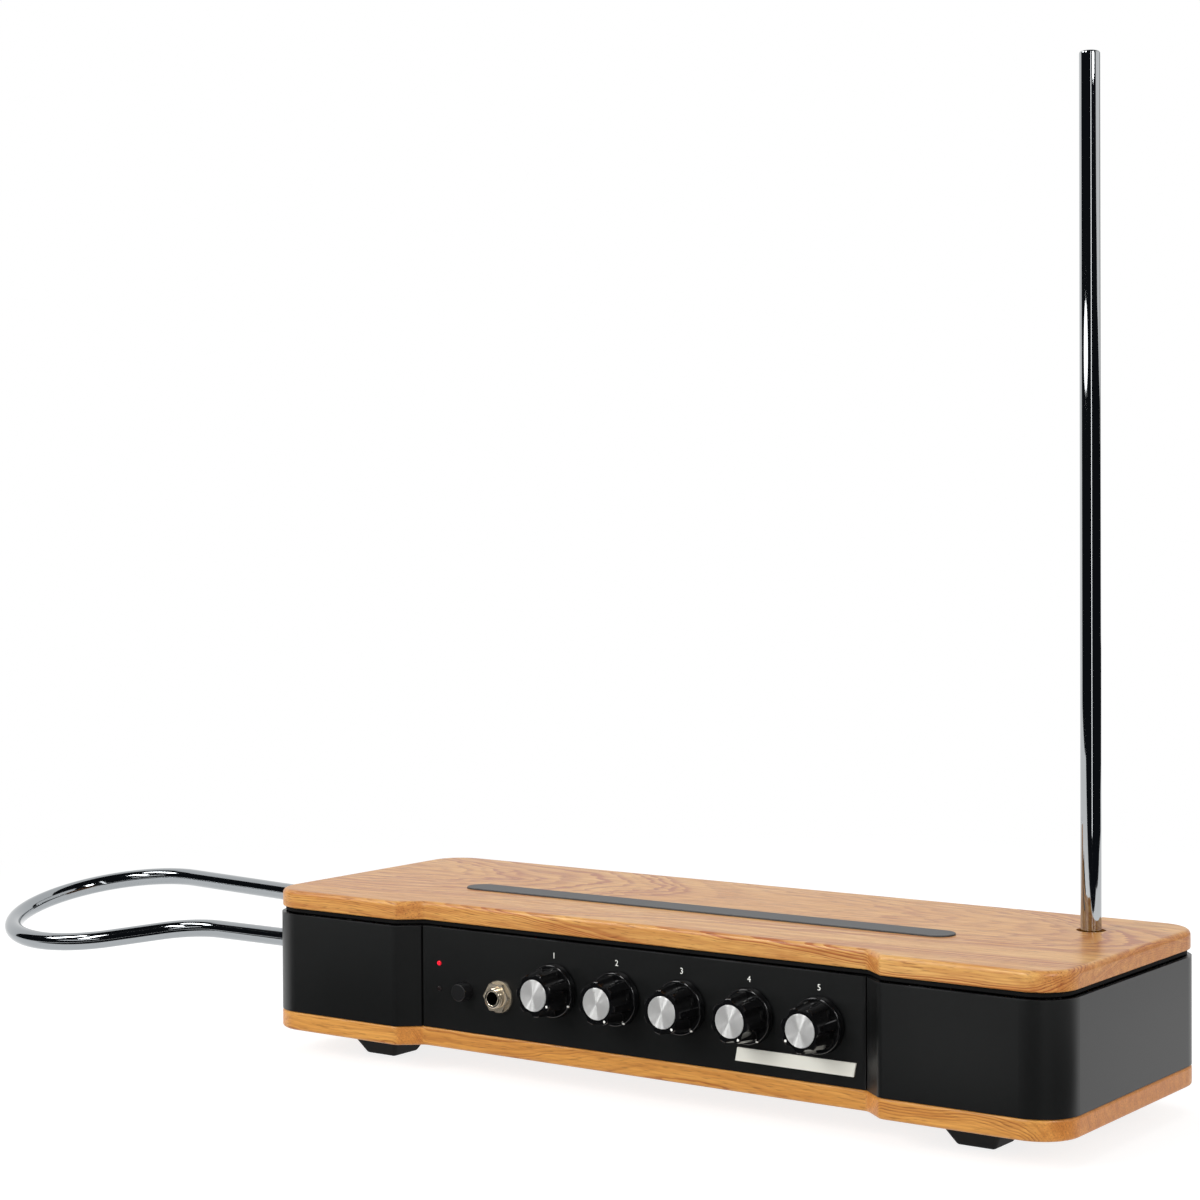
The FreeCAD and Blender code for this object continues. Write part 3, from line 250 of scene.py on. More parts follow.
# How dark one year is, from its first wood to its last
YEAR_PROFILE = ((0.0, 0.0), (0.08, 1.0), (0.3, 0.85), (0.5, 0.25), (1.0, 0.0))
PORE_FIT = (0.56, 0.66)
PORE_IN_LINE, PORE_LEAST, PORE_DARK = 0.8, 0.2, 0.55
STREAK_IN_LINE = (0.25, 0.75, 0.6, 1.2)
STREAK_TINT = (0.4, 0.63, 0.0, 0.85)
STREAK_DARK = 0.4
FIBRE_TINT = (0.36, 0.68, 0.0, 0.5)
FIBRE_GLOSS = MIDDLE + (0.3, 0.42)
FIBRE_RISE = 0.3
END_FIT = (0.3, 0.85)
END_FADE, END_TINT = 0.55, 0.7
WOOD_LEVEL, WOOD_DEPTH, WOOD_BUMP = 0.42, 0.035, 0.6
WOOD_PORE, WOOD_END = srgb(124, 72, 32), srgb(255, 223, 193)


def wood(name, pith, tilt, spacing, seed, pale, warm, line_colour, strength):
    """Ring-porous wood: growth rings about a pith line near X, with pores, fibres and redder ends.

    The pith is the ring centre's y and z. It sinks by the tilt along X, which draws the long
    arches on the faces. The spacing of the rings is in millimetres.
    """
    g = surface(name)
    point = g.place()
    x, y, z = g.split(point)

    def sway(scale, detail, rough, reach, factor, start):
        shift = tuple(factor * s + start for s in seed)
        return g.line(g.noise(point, scale, detail, rough, shift), reach, -reach / 2)

    across = g.plus(g.less(y, pith[0]), sway(*SWAY))
    above = g.plus(g.plus(g.line(x, tilt, -pith[1]), sway(*SWELL)), z)
    radius = g.math("SQRT", g.plus(g.times(across, across), g.times(above, above)))
    radius = g.plus(g.plus(radius, sway(*RIPPLE)), sway(*WANDER))
    rings = g.math("DIVIDE", radius, spacing)
    rings = g.plus(rings, g.times(g.noise_along(rings, WIDTH_SCALE, RING_DETAIL), WIDTH_REACH))
    number = g.math("FLOOR", rings)
    year = g.add("TexWhiteNoise", {"W": number}, noise_dimensions="1D").outputs["Value"]
    decade = g.fit(g.noise_along(rings, DECADE_SCALE, RING_DETAIL), *DECADE_FIT)
    depth = g.times(g.line(year, YEAR_REACH, YEAR_LEAST), decade)
    profile = g.ramp(g.math("FRACT", rings), YEAR_PROFILE)

    fibre = g.noise(point, *FIBRES)
    streak = g.noise(point, *STREAKS)
    pores = g.fit(g.noise(point, *PORES), *PORE_FIT)
    porous = g.times(pores, g.line(profile, PORE_IN_LINE, PORE_LEAST))
    along = g.split(g.add("TexCoord").outputs["Normal"])[0]
    ends = g.fit(g.math("ABSOLUTE", along), *END_FIT)
    line = g.times(g.times(profile, depth), g.fit(streak, *STREAK_IN_LINE))
    line = g.times(line, g.line(ends, -END_FADE, 1.0))

    colour = g.mix(g.fit(g.noise(point, *CLOUDS), *MIDDLE), pale, warm)
    darker = g.mix(STREAK_DARK * strength, warm, line_colour)
    colour = g.mix(g.fit(streak, *STREAK_TINT), colour, darker)
    colour = g.mix(g.times(line, strength, clamp=True), colour, line_colour)
    colour = g.mix(g.fit(fibre, *FIBRE_TINT), colour, line_colour)
    colour = g.mix(g.times(porous, PORE_DARK * strength), colour, WOOD_PORE)
    redder = g.mix(1.0, colour, WOOD_END, "MULTIPLY")
    colour = g.mix(g.times(ends, END_TINT), colour, redder)
    height = g.less(g.times(fibre, FIBRE_RISE), porous)
    return g.shade(Base_Color=colour, Roughness=g.fit(fibre, *FIBRE_GLOSS),
                   Specular_IOR_Level=WOOD_LEVEL, Normal=g.bump(height, WOOD_DEPTH, WOOD_BUMP))


# The fine marks of coats and metals: detail and roughness of the noise
MARKS = (3.0, 0.6)
COAT_CLOUDS = ((0.03,) * 3, 2.0, 0.5, (3.0, 1.0, 4.0))
COAT_DARK, COAT_PALE = 0.9, 1.12
SPECK_FIT = (0.35, 0.65, 0.0, 0.4)
SPECK_FACTOR, SPECK_LIFT = 1.6, 0.001
COAT_SMOOTHER, COAT_ROUGHER = 0.03, 0.04
# How the painted highlight along a rim fades with the height from the rim in millimetres, and how
# patchy it is
RIM_FIT = (0.05, 0.45, 1.0, 0.0)
RIM_PATCHES = (0.4, 0.65, 0.1, 0.6)
RIM_HIGHLIGHT_GREY = srgb(72, 73, 75)


def coated(name, colour, rough, grain=2.2, depth=0.006, level=0.5, rims=()):
    """Paint or moulded plastic: a fine texture in the height and the gloss.

    The grain is in cycles per millimetre and the depth in millimetres. The rims are heights in
    millimetres along which a painted highlight makes the coat paler.
    """
    g = surface(name)
    point = g.place()
    fine = g.noise(point, (grain,) * 3, *MARKS)
    clouds = g.noise(point, *COAT_CLOUDS)
    shade = g.mix(g.fit(clouds, *MIDDLE), tone(colour, COAT_DARK), tone(colour, COAT_PALE))
    shade = g.mix(g.fit(fine, *SPECK_FIT), shade, tone(colour, SPECK_FACTOR, SPECK_LIFT))
    # Painted highlight: the coat is made paler in patches along each rim
    for rim in rims:
        gap = g.math("ABSOLUTE", g.less(g.split(point)[2], rim))
        rim_highlight = g.times(g.fit(gap, *RIM_FIT), g.fit(clouds, *RIM_PATCHES))
        shade = g.mix(rim_highlight, shade, RIM_HIGHLIGHT_GREY)
    gloss = g.fit(fine, *MIDDLE, rough - COAT_SMOOTHER, rough + COAT_ROUGHER)
    return g.shade(Base_Color=shade, Roughness=gloss, Specular_IOR_Level=level,
                   Normal=g.bump(fine, depth))


METAL_CLOUDS = ((0.02,) * 3, 2.0, 0.5, (7.0, 2.0, 5.0))
METAL_DARK = 0.95
METAL_SMOOTHEST = 0.02


def metal(name, colour, rough, grain=(0.02, 3.0, 3.0), spread=0.05, depth=0.0015, mirror=1.0):
    """Metal whose fine marks run along the axis with the smallest grain.

    The roughness varies by the spread either way. The mirror is how metallic the shader is.
    """
    g = surface(name)
    point = g.place()
    marks = g.noise(point, grain, *MARKS)
    clouds = g.noise(point, *METAL_CLOUDS)
    shade = g.mix(g.fit(clouds, *MIDDLE), tone(colour, METAL_DARK), colour)
    gloss = g.fit(marks, *MIDDLE, max(rough - spread, METAL_SMOOTHEST), rough + spread)
    return g.shade(Base_Color=shade, Metallic=mirror, Roughness=gloss,
                   Normal=g.bump(marks, depth))


TURNED_SCALE, TURNED_DETAIL, TURNED_DEPTH = 5.5, 3.0, 0.002
TURNED_DARK, TURNED_MIRROR, TURNED_STRETCH = 0.86, 0.65, 0.97


def spun(name, centre, colour, rough):
    """Metal turned on a lathe: circular marks about the line along Y through the centre."""
    g = surface(name)
    offset, radius = around_y(g, centre)
    marks = g.noise_along(radius, TURNED_SCALE, TURNED_DETAIL)
    outward = g.add("VectorTransform", {0: g.vector("NORMALIZE", offset)}, vector_type="VECTOR",
                    convert_from="OBJECT", convert_to="WORLD").outputs[0]
    shade = g.mix(g.fit(marks, *MIDDLE), tone(colour, TURNED_DARK), colour)
    return g.shade(Base_Color=shade, Metallic=TURNED_MIRROR, Roughness=rough,
                   Anisotropic=TURNED_STRETCH, Tangent=outward,
                   Normal=g.bump(marks, TURNED_DEPTH))


SOCKET_DULL, SOCKET_BRIGHT = srgb(214, 200, 178), srgb(232, 220, 198)
# Painted shade inside a socket's bore, and how far past the bore in millimetres it stays full and
# where it has faded
BORE_SHADE_BLACK = srgb(14, 13, 12)
BORE_CLEAR, BORE_FADE = 0.1, 0.3
SMUDGE_SCALE, SMUDGE_DETAIL = 0.15, 2.0
SOCKET_MIRROR, SOCKET_ROUGH = 0.8, 0.2


def bored(name, node, bore):
    """Nickel with painted shade inside a bore along Y through the middle of a node's box."""
    g = surface(name)
    radius = around_y(g, middle_mm(node))[1]
    # Painted shade: near-black and not metallic inside the bore
    inside = g.fit(radius, bore + BORE_CLEAR, bore + BORE_FADE, 1.0, 0.0)
    smudge = g.noise(g.place(), (SMUDGE_SCALE,) * 3, SMUDGE_DETAIL)
    colour = g.mix(g.fit(smudge, *MIDDLE), SOCKET_DULL, SOCKET_BRIGHT)
    return g.shade(Base_Color=g.mix(inside, colour, BORE_SHADE_BLACK),
                   Metallic=g.line(inside, -SOCKET_MIRROR, SOCKET_MIRROR),
                   Roughness=SOCKET_ROUGH)


TRACK_SCALE, TRACK_GAP, PAD_SCALE = 0.09, 0.035, 0.28
PAD_FIT = (0.16, 0.2, 1.0, 0.0)
MASK_DARK, MASK_PALE, TINNED = srgb(14, 74, 40), srgb(28, 108, 62), srgb(196, 196, 190)
BOARD_ROUGH, BOARD_DEPTH = 0.35, 0.04


def circuit(name):
    """A solder-masked board with raised tracks and tinned pads."""
    g = surface(name)
    point = g.place()
    brick = {"Vector": point, "Scale": TRACK_SCALE, "Mortar Size": TRACK_GAP,
             "Color1": WHITE, "Color2": WHITE, "Mortar": BLACK}
    tracks = g.add("TexBrick", brick).outputs["Fac"]
    cells = g.add("TexVoronoi", {"Vector": point, "Scale": PAD_SCALE}).outputs["Distance"]
    pads = g.fit(cells, *PAD_FIT)
    colour = g.mix(pads, g.mix(tracks, MASK_DARK, MASK_PALE), TINNED)
    return g.shade(Base_Color=colour, Roughness=BOARD_ROUGH, Metallic=pads,
                   Normal=g.bump(g.plus(tracks, pads), BOARD_DEPTH))


WIRE_PITCH = 0.35
WIRE_FIT = (-1.0, 0.6)
WIRE_GROOVE_SHADE, WIRE_MIRROR, WIRE_ROUGH = 0.3, 0.85, 0.3
WIRE_DEPTH, WIRE_BUMP = 0.12, 0.8


def wound(name, colour):
    """Enamelled wire in level turns about Z, with painted shade in the grooves between turns."""
    g = surface(name)
    height = g.split(g.place())[2]
    turns = g.math("SINE", g.times(height, 2 * math.pi / WIRE_PITCH))
    # Painted shade: the colour darkens towards each groove between turns
    shade = g.mix(g.fit(turns, *WIRE_FIT), tone(colour, WIRE_GROOVE_SHADE), colour)
    return g.shade(Base_Color=shade, Metallic=WIRE_MIRROR, Roughness=WIRE_ROUGH,
                   Normal=g.bump(turns, WIRE_DEPTH, WIRE_BUMP))


# The shares of a lens's radius between which it goes dark, and what is left at the rim
LENS_CORE, LENS_RIM, LENS_LEAST = 0.45, 0.95, 0.1
LENS_SPECK, LENS_DETAIL = 1.2, 2.0
LENS_SPECK_FIT = MIDDLE + (0.85, 1.0)
LENS_ROUGH, LENS_COAT = 0.18, 0.5


def lens(name, node, colour, glow):
    """A lit lamp's lens, which faces -Y: bright in the middle and dark at its rim."""
    g = surface(name)
    low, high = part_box(node)
    half = (high.x - low.x) / 2 / MM
    radius = around_y(g, middle_mm(node))[1]
    core = g.fit(radius, LENS_CORE * half, LENS_RIM * half, 1.0, LENS_LEAST)
    speck = g.fit(g.noise(g.place(), (LENS_SPECK,) * 3, LENS_DETAIL), *LENS_SPECK_FIT)
    shade = g.mix(g.times(core, speck), BLACK, colour)
    return g.shade(Base_Color=shade, Roughness=LENS_ROUGH, Emission_Color=colour,
                   Emission_Strength=g.times(core, glow), Coat_Weight=LENS_COAT)


def dress(material, *names):
    """Give CAD nodes a material in every slot that they have."""
    for name in names:
        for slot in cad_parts[name].material_slots:
            slot.material = material


ASH_TOP = wood("ash_top", pith=(24.0, -125.0), tilt=0.06, spacing=1.3, seed=(2.1, 3.7, 1.3),
               pale=srgb(236, 189, 114), warm=srgb(225, 168, 86),
               line_colour=srgb(176, 102, 48), strength=1.15)
ASH_BASE = wood("ash_base", pith=(-190.0, -60.0), tilt=0.02, spacing=0.95, seed=(6.4, 0.9, 5.2),
                pale=srgb(240, 180, 94), warm=srgb(227, 160, 74),
                line_colour=srgb(178, 110, 48), strength=0.8)
COVER_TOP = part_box("right_side_cover")[1].z / MM
# The covers get a painted highlight along their top rim
SATIN_BLACK = coated("satin_black", srgb(17, 18, 18), rough=0.36, grain=1.8, depth=0.0025,
                     level=0.46, rims=(COVER_TOP,))
FRAME_BLACK = coated("frame_black", srgb(22, 22, 22), rough=0.7, grain=2.0, level=0.1)
STRIP_GREY = coated("strip_grey", srgb(66, 67, 68), rough=0.5, grain=3.2, depth=0.012,
                    level=0.45)
KNOB_BLACK = coated("knob_black", srgb(12, 12, 13), rough=0.1, grain=1.0, depth=0.0015)
BUTTON_GREY = coated("button_grey", srgb(22, 22, 23), rough=0.36, grain=3.0, depth=0.008)
SWITCH_BLACK = coated("switch_black", srgb(24, 24, 25), rough=0.4, grain=2.6, depth=0.008)
RUBBER = coated("foot_rubber", srgb(8, 8, 8), rough=0.7, grain=1.8, depth=0.02, level=0.2)
MOULDED = coated("bracket_plastic", srgb(214, 212, 204), rough=0.5, grain=2.0, depth=0.01)
INK = coated("ink_white", srgb(238, 238, 232), rough=0.5, grain=4.0, depth=0.002)
CHROME = metal("chrome_plate", srgb(181, 184, 186), rough=0.03, grain=(0.4, 0.4, 0.4),
               spread=0.01, depth=0.0)
# The rod's chrome in a darker copy for the loop: painted shade that makes the loop's reflections
# darker
LOOP_CHROME_SHADED = metal("chrome_loop_shaded", srgb(160, 164, 167), rough=0.07, grain=(0.4, 0.4, 0.4),
                    spread=0.01, depth=0.0)
STEEL = metal("zinc_steel", srgb(196, 198, 202), rough=0.3, grain=(1.6, 1.6, 1.6), spread=0.08)
POST_METAL = metal("post_aluminium", srgb(212, 213, 216), rough=0.28, grain=(0.3, 0.3, 2.6))
BRASS = metal("socket_brass", srgb(216, 178, 104), rough=0.26, grain=(1.8, 0.4, 0.4))
PLATE = metal("plate_brushed", srgb(246, 245, 234), rough=0.45, grain=(0.05, 6.0, 6.0),
              spread=0.1, depth=0.004, mirror=0.12)
FLANGE = metal("flange_steel", srgb(188, 190, 194), rough=0.34, grain=(1.2, 1.2, 1.2),
               spread=0.08)
POT_METAL = metal("pot_steel", srgb(180, 181, 184), rough=0.3, grain=(2.0, 2.0, 2.0),
                  spread=0.08)
NICKEL_NUT = metal("nickel", srgb(246, 232, 208), rough=0.2, grain=(0.15, 0.15, 0.15),
                   spread=0.03, depth=0.0, mirror=0.74)
NICKEL_BARREL = metal("nickel_barrel", srgb(250, 238, 216), rough=0.12,
                      grain=(0.15, 0.15, 0.15), spread=0.02, depth=0.0, mirror=0.96)
LAMP_LIT = lens("lamp_lit", "power_lamp", srgb(236, 26, 48), glow=0.7)
LAMP_DARK = coated("lamp_dark", srgb(22, 8, 9), rough=0.4, grain=1.2, depth=0.002)
BOARD = circuit("board_green")
WINDING = wound("coil_winding", srgb(206, 118, 66))
WIRE = coated("wire_red", srgb(168, 30, 26), rough=0.34, grain=1.5, depth=0.01)
CAP_SILVER, CAP_ROUGH = srgb(250, 250, 248), 0.46

dress(ASH_TOP, "top_board")
dress(ASH_BASE, "bottom_board")
dress(STRIP_GREY, "top_strip")
dress(FRAME_BLACK, "upper_frame")
dress(SATIN_BLACK, "left_side_cover", "right_side_cover", "front_panel", "rear_panel")
dress(POST_METAL, "case_posts")
dress(STEEL, "case_screws", "foot_screws", "flange_screws", "pot_nuts")
dress(RUBBER, "feet")
dress(FLANGE, "stand_flange")
dress(POT_METAL, "potentiometers")
dress(BOARD, "panel_board", "main_board")
dress(MOULDED, "loop_bracket", "board_standoffs")
dress(BUTTON_GREY, "mute_button", "power_rocker")
dress(SWITCH_BLACK, "mute_switch", "power_switch", "power_inlet")
dress(LAMP_LIT, "power_lamp")
dress(LAMP_DARK, "mute_lamp")
dress(PLATE, "nameplate")
dress(NICKEL_NUT, "phones_jack_nut", "audio_jack_nut", "cv_jack_nuts")
dress(CHROME, "pitch_antenna")
dress(LOOP_CHROME_SHADED, "volume_loop")
dress(BRASS, "pitch_socket", "loop_sockets")
dress(WINDING, "pitch_coils", "volume_coils")
dress(WIRE, "pitch_lead", "volume_lead")
# Each socket, the node whose middle is the bore's, and its barrel. Of the three small sockets, only
# the one in the middle has its bore there.
SOCKETS = (("phones_jack", "phones_jack_nut", BIG_BARREL),
           ("audio_jack", "audio_jack_nut", BIG_BARREL),
           ("cv_jacks", "cv_jacks", SMALL_BARREL))
for name, centred, barrel in SOCKETS:
    dress(bored(name + "_metal", centred, barrel.bore), name)
for control in CONTROLS:
    cap = "knob_cap_" + control
    dress(KNOB_BLACK, "knob_" + control)
    dress(spun("cap_spun_" + control, middle_mm(cap), CAP_SILVER, CAP_ROUGH), cap)
    dress(POST_METAL, "pot_shaft_" + control)


# Small surface pieces


def mesh_piece(name, build, material, body):
    """An object whose mesh the build function makes in the row frame."""
    mesh = bpy.data.meshes.new(name)
    shape = bmesh.new()
    build(shape)
    bmesh.ops.recalc_face_normals(shape, faces=shape.faces[:])
    shape.to_mesh(mesh)
    shape.free()
    mesh.materials.append(material)
    piece = bpy.data.objects.new(name, mesh)
    bpy.context.scene.collection.objects.link(piece)
    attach(piece, body)
    return piece


DOME_SIDES, DOME_RINGS = 20, 3


def dome(shape, centre, normal, radius, rise, sunk):
    """A shallow dome on a short stem that goes into the surface behind it."""
    turn = Vector(normal).to_track_quat("Z", "Y").to_matrix()
    loops = []
    profile = [(radius, -sunk), (radius, 0.0)]
    for step in range(1, DOME_RINGS + 1):
        lean = math.pi / 2 * step / (DOME_RINGS + 1)
        profile.append((radius * math.cos(lean), rise * math.sin(lean)))
    angles = [turn_of(i, DOME_SIDES) for i in range(DOME_SIDES)]
    for reach, height in profile:
        spots = [Vector((reach * math.cos(a), reach * math.sin(a), height)) for a in angles]
        loops.append([shape.verts.new(Vector(centre) + turn @ spot) for spot in spots])
    top = shape.verts.new(Vector(centre) + turn @ Vector((0.0, 0.0, rise)))
    for below, above in zip(loops, loops[1:]):
        for i in range(DOME_SIDES):
            j = (i + 1) % DOME_SIDES
            shape.faces.new((below[i], below[j], above[j], above[i]))
    for i in range(DOME_SIDES):
        shape.faces.new((loops[-1][i], loops[-1][(i + 1) % DOME_SIDES], top))
    shape.faces.new(loops[0])


LATHE_SIDES = 48


def lathe(shape, centre, profile):
    """A ring turned about Y through the centre.

    The profile is a closed loop of (radius, y) pairs in millimetres.
    """
    rounds = []
    for i in range(LATHE_SIDES):
        turn = turn_of(i, LATHE_SIDES)
        rounds.append([shape.verts.new((centre.x + reach * MM * math.cos(turn), y * MM,
                                        centre.z + reach * MM * math.sin(turn)))
                       for reach, y in profile])
    for i, here in enumerate(rounds):
        there = rounds[(i + 1) % LATHE_SIDES]
        for j in range(len(profile)):
            k = (j + 1) % len(profile)
            shape.faces.new((here[j], here[k], there[k], there[j]))


# A pointer's two dots: radius from the knob's axis, height above its back, lean outwards
DOTS = ((9.0, 16.1, 0.0), (12.3, 2.95, 1.0))
DOT_RADIUS = 0.62
DOT_RISE = 0.16
DOT_ROOT = 0.5


def pointer_dots(control):
    """The white dots of one knob's pointer."""
    low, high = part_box("knob_" + control)
    hub = Vector(((low.x + high.x) / 2, high.y, (low.z + high.z) / 2))
    angle = math.radians(POINTERS[control])
    outward = Vector((math.sin(angle), 0.0, math.cos(angle)))

    def build(shape):
        for reach, height, lean in DOTS:
            spot = hub + outward * reach * MM - Vector((0.0, height * MM, 0.0))
            normal = (outward * lean + Vector((0.0, -1.0, 0.0))).normalized()
            dome(shape, spot, normal, DOT_RADIUS * MM, DOT_RISE * MM, DOT_ROOT * MM)

    mesh_piece("dots_" + control, build, INK, control + "_control")


for control in CONTROLS:
    pointer_dots(control)

# Plain numerals above the knobs, in millimetres
NUMERAL_Z = 52.2
NUMERAL_SIZE = 4.0
NUMERAL_THICK = 0.05
PANEL_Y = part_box("front_panel")[0].y


def numeral(number, x):
    """A number's outline as a thin mesh on the panel, facing -Y."""
    letter = bpy.data.curves.new("numeral", "FONT")
    letter.body = str(number)
    letter.size = NUMERAL_SIZE * MM
    letter.extrude = NUMERAL_THICK * MM / 2
    letter.align_x = letter.align_y = "CENTER"
    draft = bpy.data.objects.new("numeral", letter)
    bpy.context.scene.collection.objects.link(draft)
    bpy.context.view_layer.update()
    drawn = draft.evaluated_get(bpy.context.evaluated_depsgraph_get())
    mesh = bpy.data.meshes.new_from_object(drawn)
    bpy.data.objects.remove(draft)
    stand = Matrix.Rotation(math.pi / 2, 4, "X")
    mesh.transform(Matrix.Translation((x, PANEL_Y, NUMERAL_Z * MM)) @ stand)
    mesh.materials.clear()
    mesh.materials.append(INK)
    piece = bpy.data.objects.new("numeral_%d" % number, mesh)
    bpy.context.scene.collection.objects.link(piece)
    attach(piece, "case")


for number, control in enumerate(CONTROLS, 1):
    low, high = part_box("knob_" + control)
    numeral(number, (low.x + high.x) / 2)

# The thread ridges of a barrel: how deep their feet go into it in millimetres, and in shares of the
# pitch where the first one lies and how far its feet and its crest reach to each side
RIDGE_ROOT = 0.1
RIDGE_FIRST, RIDGE_FOOT, RIDGE_CREST = 0.75, 0.4, 0.08
LIP_RISE, LIP_ROOT = 0.45, 0.3
LIP_STEPS = 8


def barrel_thread(name, centre, nut_face, mouth, barrel, lip):
    """Thread ridges from the nut's face to the mouth, and a rounded lip if asked.

    Both faces are y in millimetres.
    """
    outer, bore, pitch, ridge = barrel
    way = math.copysign(1.0, mouth - nut_face)
    count = int(abs(mouth - nut_face) / pitch)
    foot, crest = outer - RIDGE_ROOT, outer + ridge

    def build(shape):
        for i in range(count):
            y = mouth - way * pitch * (i + RIDGE_FIRST)
            lathe(shape, centre, [(foot, y - RIDGE_FOOT * pitch), (crest, y - RIDGE_CREST * pitch),
                                  (crest, y + RIDGE_CREST * pitch), (foot, y + RIDGE_FOOT * pitch)])
        if lip:
            middle, half = (outer + bore) / 2, (outer - bore) / 2
            leans = [math.pi * i / LIP_STEPS for i in range(LIP_STEPS + 1)]
            bow = [(middle - half * math.cos(a), mouth + way * LIP_RISE * math.sin(a))
                   for a in leans]
            root = mouth - way * LIP_ROOT
            lathe(shape, centre, bow + [(outer, root), (bore, root)])

    piece = mesh_piece(name, build, NICKEL_BARREL, "case")
    for face in piece.data.polygons:
        face.use_smooth = True


for name, faces_front in (("phones_jack", True), ("audio_jack", False)):
    low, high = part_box(name)
    nut_low, nut_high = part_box(name + "_nut")
    hub = (nut_low + nut_high) / 2
    nut_face, mouth = (nut_low.y, low.y) if faces_front else (nut_high.y, high.y)
    barrel_thread(name + "_thread", hub, nut_face / MM, mouth / MM, BIG_BARREL, faces_front)

# The three small sockets stand in a row along X
CV_COUNT = 3
CV_NUT_RADIUS = 4.0 * MM
cv_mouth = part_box("cv_jacks")[1].y / MM
nut_low, nut_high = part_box("cv_jack_nuts")
cv_span = nut_high.x - nut_low.x - 2 * CV_NUT_RADIUS
for i in range(CV_COUNT):
    x = nut_low.x + CV_NUT_RADIUS + cv_span * i / (CV_COUNT - 1)
    hub = Vector((x, 0.0, (nut_low.z + nut_high.z) / 2))
    name = "cv_thread_%d" % (i + 1)
    barrel_thread(name, hub, nut_high.y / MM, cv_mouth, SMALL_BARREL, False)


# Camera

# Its place in metres, its turns in radians, and in pixels its focal length, the picture's width and
# how far the picture is shifted down
CAMERA_AT = (0.67657, -1.02934, 0.25996)
YAW, PITCH, ROLL = 0.6242, -0.0201, -0.0056
FOCAL, PICTURE, SHIFT_DOWN = 2533.4, 1200, 30
# In millimetres
SENSOR = 36.0

camera_data = bpy.data.cameras.new("camera")
camera_data.sensor_width = SENSOR
camera_data.lens = FOCAL / PICTURE * SENSOR
camera_data.shift_y = -SHIFT_DOWN / PICTURE
camera = bpy.data.objects.new("camera", camera_data)
bpy.context.scene.collection.objects.link(camera)
forward = Vector((-math.sin(YAW) * math.cos(PITCH), math.cos(YAW) * math.cos(PITCH),
                  math.sin(PITCH)))
level = Vector((math.cos(YAW), math.sin(YAW), 0.0))
upright = level.cross(forward)
side = level * math.cos(ROLL) + upright * math.sin(ROLL)
top = upright * math.cos(ROLL) - level * math.sin(ROLL)
camera.matrix_world = Matrix((side, top, -forward)).transposed().to_4x4()
camera.location = CAMERA_AT
bpy.context.scene.camera = camera

# Stage and light, in metres

# The floor lies just under the feet, so that no two faces share a plane
FLOOR_CLEAR = 0.0001
FLOOR_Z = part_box("feet")[0].z - FLOOR_CLEAR
FLOOR_HALF = 6.0
# Over what distance from the origin the floor's shadow fades into plain white
FLOOR_FADE = (0.45, 0.95, 1.0, 0.0)
# How much less it glows where the shadow is, how pale it is there, and how pale to bounced light
FLOOR_DIM, FLOOR_SHADE, FLOOR_PALE = 0.18, (0.33,) * 3, (0.8,) * 3
# The direction from the rod to the camera, and the one to its right, in plan
TOWARDS = Vector((0.42, -0.907, 0.0)).normalized()
RIGHTWARDS = Vector((-TOWARDS.y, TOWARDS.x, 0.0))
ROD = (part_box("pitch_antenna")[0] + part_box("pitch_antenna")[1]) / 2
ROD.z = 0.0


def stage_mesh(name, corners, material):
    """One flat face of the stage, in the row frame."""
    mesh = bpy.data.meshes.new(name)
    mesh.from_pydata(corners, [], [tuple(range(len(corners)))])
    mesh.materials.append(material)
    made = bpy.data.objects.new(name, mesh)
    bpy.context.scene.collection.objects.link(made)
    made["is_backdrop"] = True
    return made


def seen_rays(g):
    """1 for camera, glossy and transmission rays, which see the white background."""
    path = g.add("LightPath")
    rays = g.math("MAXIMUM", path.outputs["Is Camera Ray"], path.outputs["Is Glossy Ray"])
    return g.math("MAXIMUM", rays, path.outputs["Is Transmission Ray"])


def floor_material():
    """White to the eye but for the object's shadow near it, and plain pale to bounced light."""
    g = surface("floor")
    distance = g.vector("LENGTH", g.add("TexCoord").outputs["Object"], out=1)
    near = g.fit(distance, *FLOOR_FADE, smooth=True)
    glow = g.add("Emission", {"Strength": g.line(near, -FLOOR_DIM, 1.0)}).outputs[0]
    shadow = g.add("BsdfDiffuse", {"Color": g.mix(near, BLACK, FLOOR_SHADE)}).outputs[0]
    seen = g.add("AddShader", {0: glow, 1: shadow}).outputs[0]
    plain = g.add("BsdfDiffuse", {"Color": FLOOR_PALE}).outputs[0]
    return g.end(g.add("MixShader", {0: seen_rays(g), 1: plain, 2: seen}))


def glow_material(name, colour, strength):
    """A surface that only shines."""
    g = surface(name)
    return g.end(g.add("Emission", {"Color": colour, "Strength": strength}))


stage_mesh("floor", [(x * FLOOR_HALF, y * FLOOR_HALF, FLOOR_Z) for x, y in SQUARE],
           floor_material())

DARK = glow_material("room_dark", srgb(22, 24, 28), strength=1.0)
GREY_GLOW = glow_material("patch_grey", WHITE, strength=0.6)
BRIGHT = glow_material("softbox", WHITE, strength=1.0)
KEY_GLOW = glow_material("softbox_key", WHITE, strength=14.0)
LINE_GLOW = glow_material("softbox_line", WHITE, strength=2.8)


def only_mirrored(panel):
    """Hide a panel from all rays but those of mirrors and gloss."""
    panel.visible_camera = False
    panel.visible_diffuse = False
    panel.visible_transmission = False
    panel.visible_shadow = False


def reflector(name, corners, material):
    """A mirrored panel of the room. Its corners are (towards, rightwards, height) from the rod."""
    points = [ROD + TOWARDS * t + RIGHTWARDS * r + Vector((0.0, 0.0, z)) for t, r, z in corners]
    only_mirrored(stage_mesh(name, points, material))


